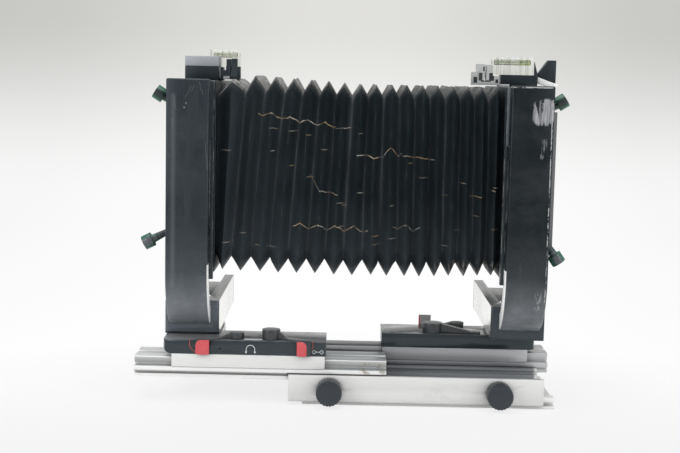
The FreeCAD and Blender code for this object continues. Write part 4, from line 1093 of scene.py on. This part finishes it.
# %% Lines and symbols
LINE = 0.45
ARC_LINE = 0.6
ARC_RADIUS = 4.0
low, high = box_mm("front_carriage")
face_y = (low.y + 0.02) * MM
arc_x, arc_z = low.x + 81.4, low.z + 5.3
arc = [mm(ring_part(arc_x, arc_z, ARC_RADIUS, ARC_LINE, 0, 180))]
for side in (-1, 1):
    x = arc_x + side * ARC_RADIUS
    arc.append(mm(bar(x, arc_z, x, arc_z - 1.9, ARC_LINE)))
for side in (-1, 1):
    arc.append(mm(arrowhead(arc_x + side * (ARC_RADIUS + 0.1), arc_z - 2.7, 1.2)))
mid_z = low.z + 4.2
diamonds = []
for x in (high.x - 11.1, high.x - 4.1):
    diamonds += bent_line(((x - 1.9, mid_z), (x, mid_z + 1.9), (x + 1.9, mid_z), (x, mid_z - 1.9),
                           (x - 1.9, mid_z)), LINE)
diamonds += bent_line(((high.x - 8.9, mid_z), (high.x - 6.3, mid_z)), LINE)
left, right, top_z = low.x, high.x, low.z + 14.2
lines = bent_line(((left + 25.1, top_z), (left + 24.7, top_z - 6.2), (left + 26.4, top_z - 9.6),
                   (left + 30.4, top_z - 12.4)), LINE)
lines += bent_line(((right - 12.7, top_z), (right - 12.1, top_z - 5.8), (right - 13.3, top_z - 7.6)), LINE)
for name, loops, finish in (("turn_symbol", arc, white_mark), ("slide_symbol", diamonds, white_mark),
                            ("carriage_lines", lines, red_line)):
    slab(name, loops, face_y, 0.10 * MM, finish, body_of["front_carriage"])
print("symbols laid at Y", round(face_y / MM, 2), "mm")

# %% [markdown]
# ## Stage, light and camera
# A pale sweep of paper runs under the camera and up behind it. To the eye and to the
# shiny parts it shows mostly its own pale colour, a little darker towards the top, with
# a faint plain shadow near the object. Three soft lamps and an even world light the
# object, so that a colour renders about as it is written.

# %% Sweep finish
def sweep_finish():
    """Paper that shows its own pale colour, with a faint plain shadow near the object."""
    m, t, b = start_finish("pale_sweep", (0.90, 0.90, 0.90), 0.85, Specular_IOR_Level=0.2)
    x, y, z = split(t, place_of(t))
    middle = -0.07
    aside = ramp(t, maths(t, "ABSOLUTE", minus(t, x, middle)), 0.1, 0.95)
    high = ramp(t, z, 0.02, 0.46)
    high.node.interpolation_type = "SMOOTHSTEP"
    fall = times(t, high, plus(t, times(t, aside, 0.11), 0.25))
    near = greatest(t, ramp(t, y, 0.25, -0.2, 0.0, 0.13), ramp(t, aside, 0.1, 0.7, 0.0, 0.07))
    tone = minus(t, minus(t, 1.0, fall), near)
    colour = mix(t, high, (1.0, 1.0, 1.0), (1.0, 0.995, 0.965))
    shade = node(t, "ShaderNodeVectorMath", operation="SCALE", i0=colour, in_Scale=tone)
    glow = node(t, "ShaderNodeEmission", in_Color=shade, in_Strength=1.0)
    rays = t.nodes.new("ShaderNodeLightPath").outputs
    seen = greatest(t, rays["Is Camera Ray"], rays["Is Glossy Ray"])
    seen = greatest(t, seen, rays["Is Transmission Ray"])
    share = times(t, seen, ramp(t, y, 0.15, 0.75, 0.86, 1.0))
    both = node(t, "ShaderNodeMixShader", i0=share, i1=b.outputs[0], i2=glow)
    t.links.new(both, t.nodes["Material Output"].inputs["Surface"])
    return m


print("sweep finish ready")

# %% Sweep
NEAR_END, BACK_WALL, HEIGHT, HALF_WIDE = -4.5, 2.2, 3.2, 4.5
CURVE, CURVE_STEPS = 0.9, 48
rows = [(NEAR_END, 0.0), (BACK_WALL - CURVE, 0.0)]
for k in range(1, CURVE_STEPS + 1):
    a = math.pi / 2 * k / CURVE_STEPS
    rows.append((BACK_WALL - CURVE + CURVE * math.sin(a), CURVE - CURVE * math.cos(a)))
rows.append((BACK_WALL, HEIGHT))
bm = bmesh.new()
pairs = [[bm.verts.new((x, y, z)) for x in (-HALF_WIDE, HALF_WIDE)] for y, z in rows]
for a, b in zip(pairs, pairs[1:]):
    bm.faces.new((a[0], a[1], b[1], b[0]))
sweep = add_mesh("pale_sweep", bm)
sweep.data.materials.append(sweep_finish())
shade_smooth(sweep)
print("sweep of", len(rows), "rows")


# %% Lamps and world
def lamp(name, where, target, size, power):
    """A soft rectangular lamp that points at a target."""
    data = bpy.data.lights.new(name, "AREA")
    data.shape = "RECTANGLE"
    data.size, data.size_y = size
    data.energy = power
    o = bpy.data.objects.new(name, data)
    o.location = where
    o.rotation_mode = "QUATERNION"
    o.rotation_quaternion = (Vector(target) - Vector(where)).to_track_quat("-Z", "Y")
    bpy.context.scene.collection.objects.link(o)


lamp("top_softbox", (-0.2, -0.1, 1.7), (-0.08, 0.1, 0.1), (1.8, 1.4), 22)
lamp("left_softbox", (-1.5, -1.2, 0.9), (-0.08, 0, 0.15), (1.0, 1.2), 12)
lamp("right_softbox", (1.4, -1.1, 0.8), (-0.08, 0, 0.15), (1.0, 1.2), 9)
world = bpy.data.worlds.new("studio")
world.use_nodes = True
sky = world.node_tree.nodes["Background"]
sky.inputs["Color"].default_value = (0.95, 0.96, 1.0, 1)
sky.inputs["Strength"].default_value = 0.55
bpy.context.scene.world = world
print("lamps", len(bpy.data.lights))

# %% Camera
SENSOR = 36
FOCAL_LENGTH = 67.2353
STAND = (-0.086, -1.206, 0.303)
TILT_DOWN = math.radians(6.65)
ROLL = math.radians(1.25)
lens = bpy.data.cameras.new("view")
lens.sensor_width = SENSOR
lens.lens = FOCAL_LENGTH
lens.clip_end = 50
camera = bpy.data.objects.new("view", lens)
aim = Matrix.Rotation(math.pi / 2 - TILT_DOWN, 4, "X") @ Matrix.Rotation(ROLL, 4, "Z")
camera.matrix_world = Matrix.Translation(STAND) @ aim
bpy.context.scene.collection.objects.link(camera)
bpy.context.scene.camera = camera
bpy.context.scene.view_settings.view_transform = "Standard"
print("camera at", STAND, "with a lens of", round(lens.lens, 1), "mm")
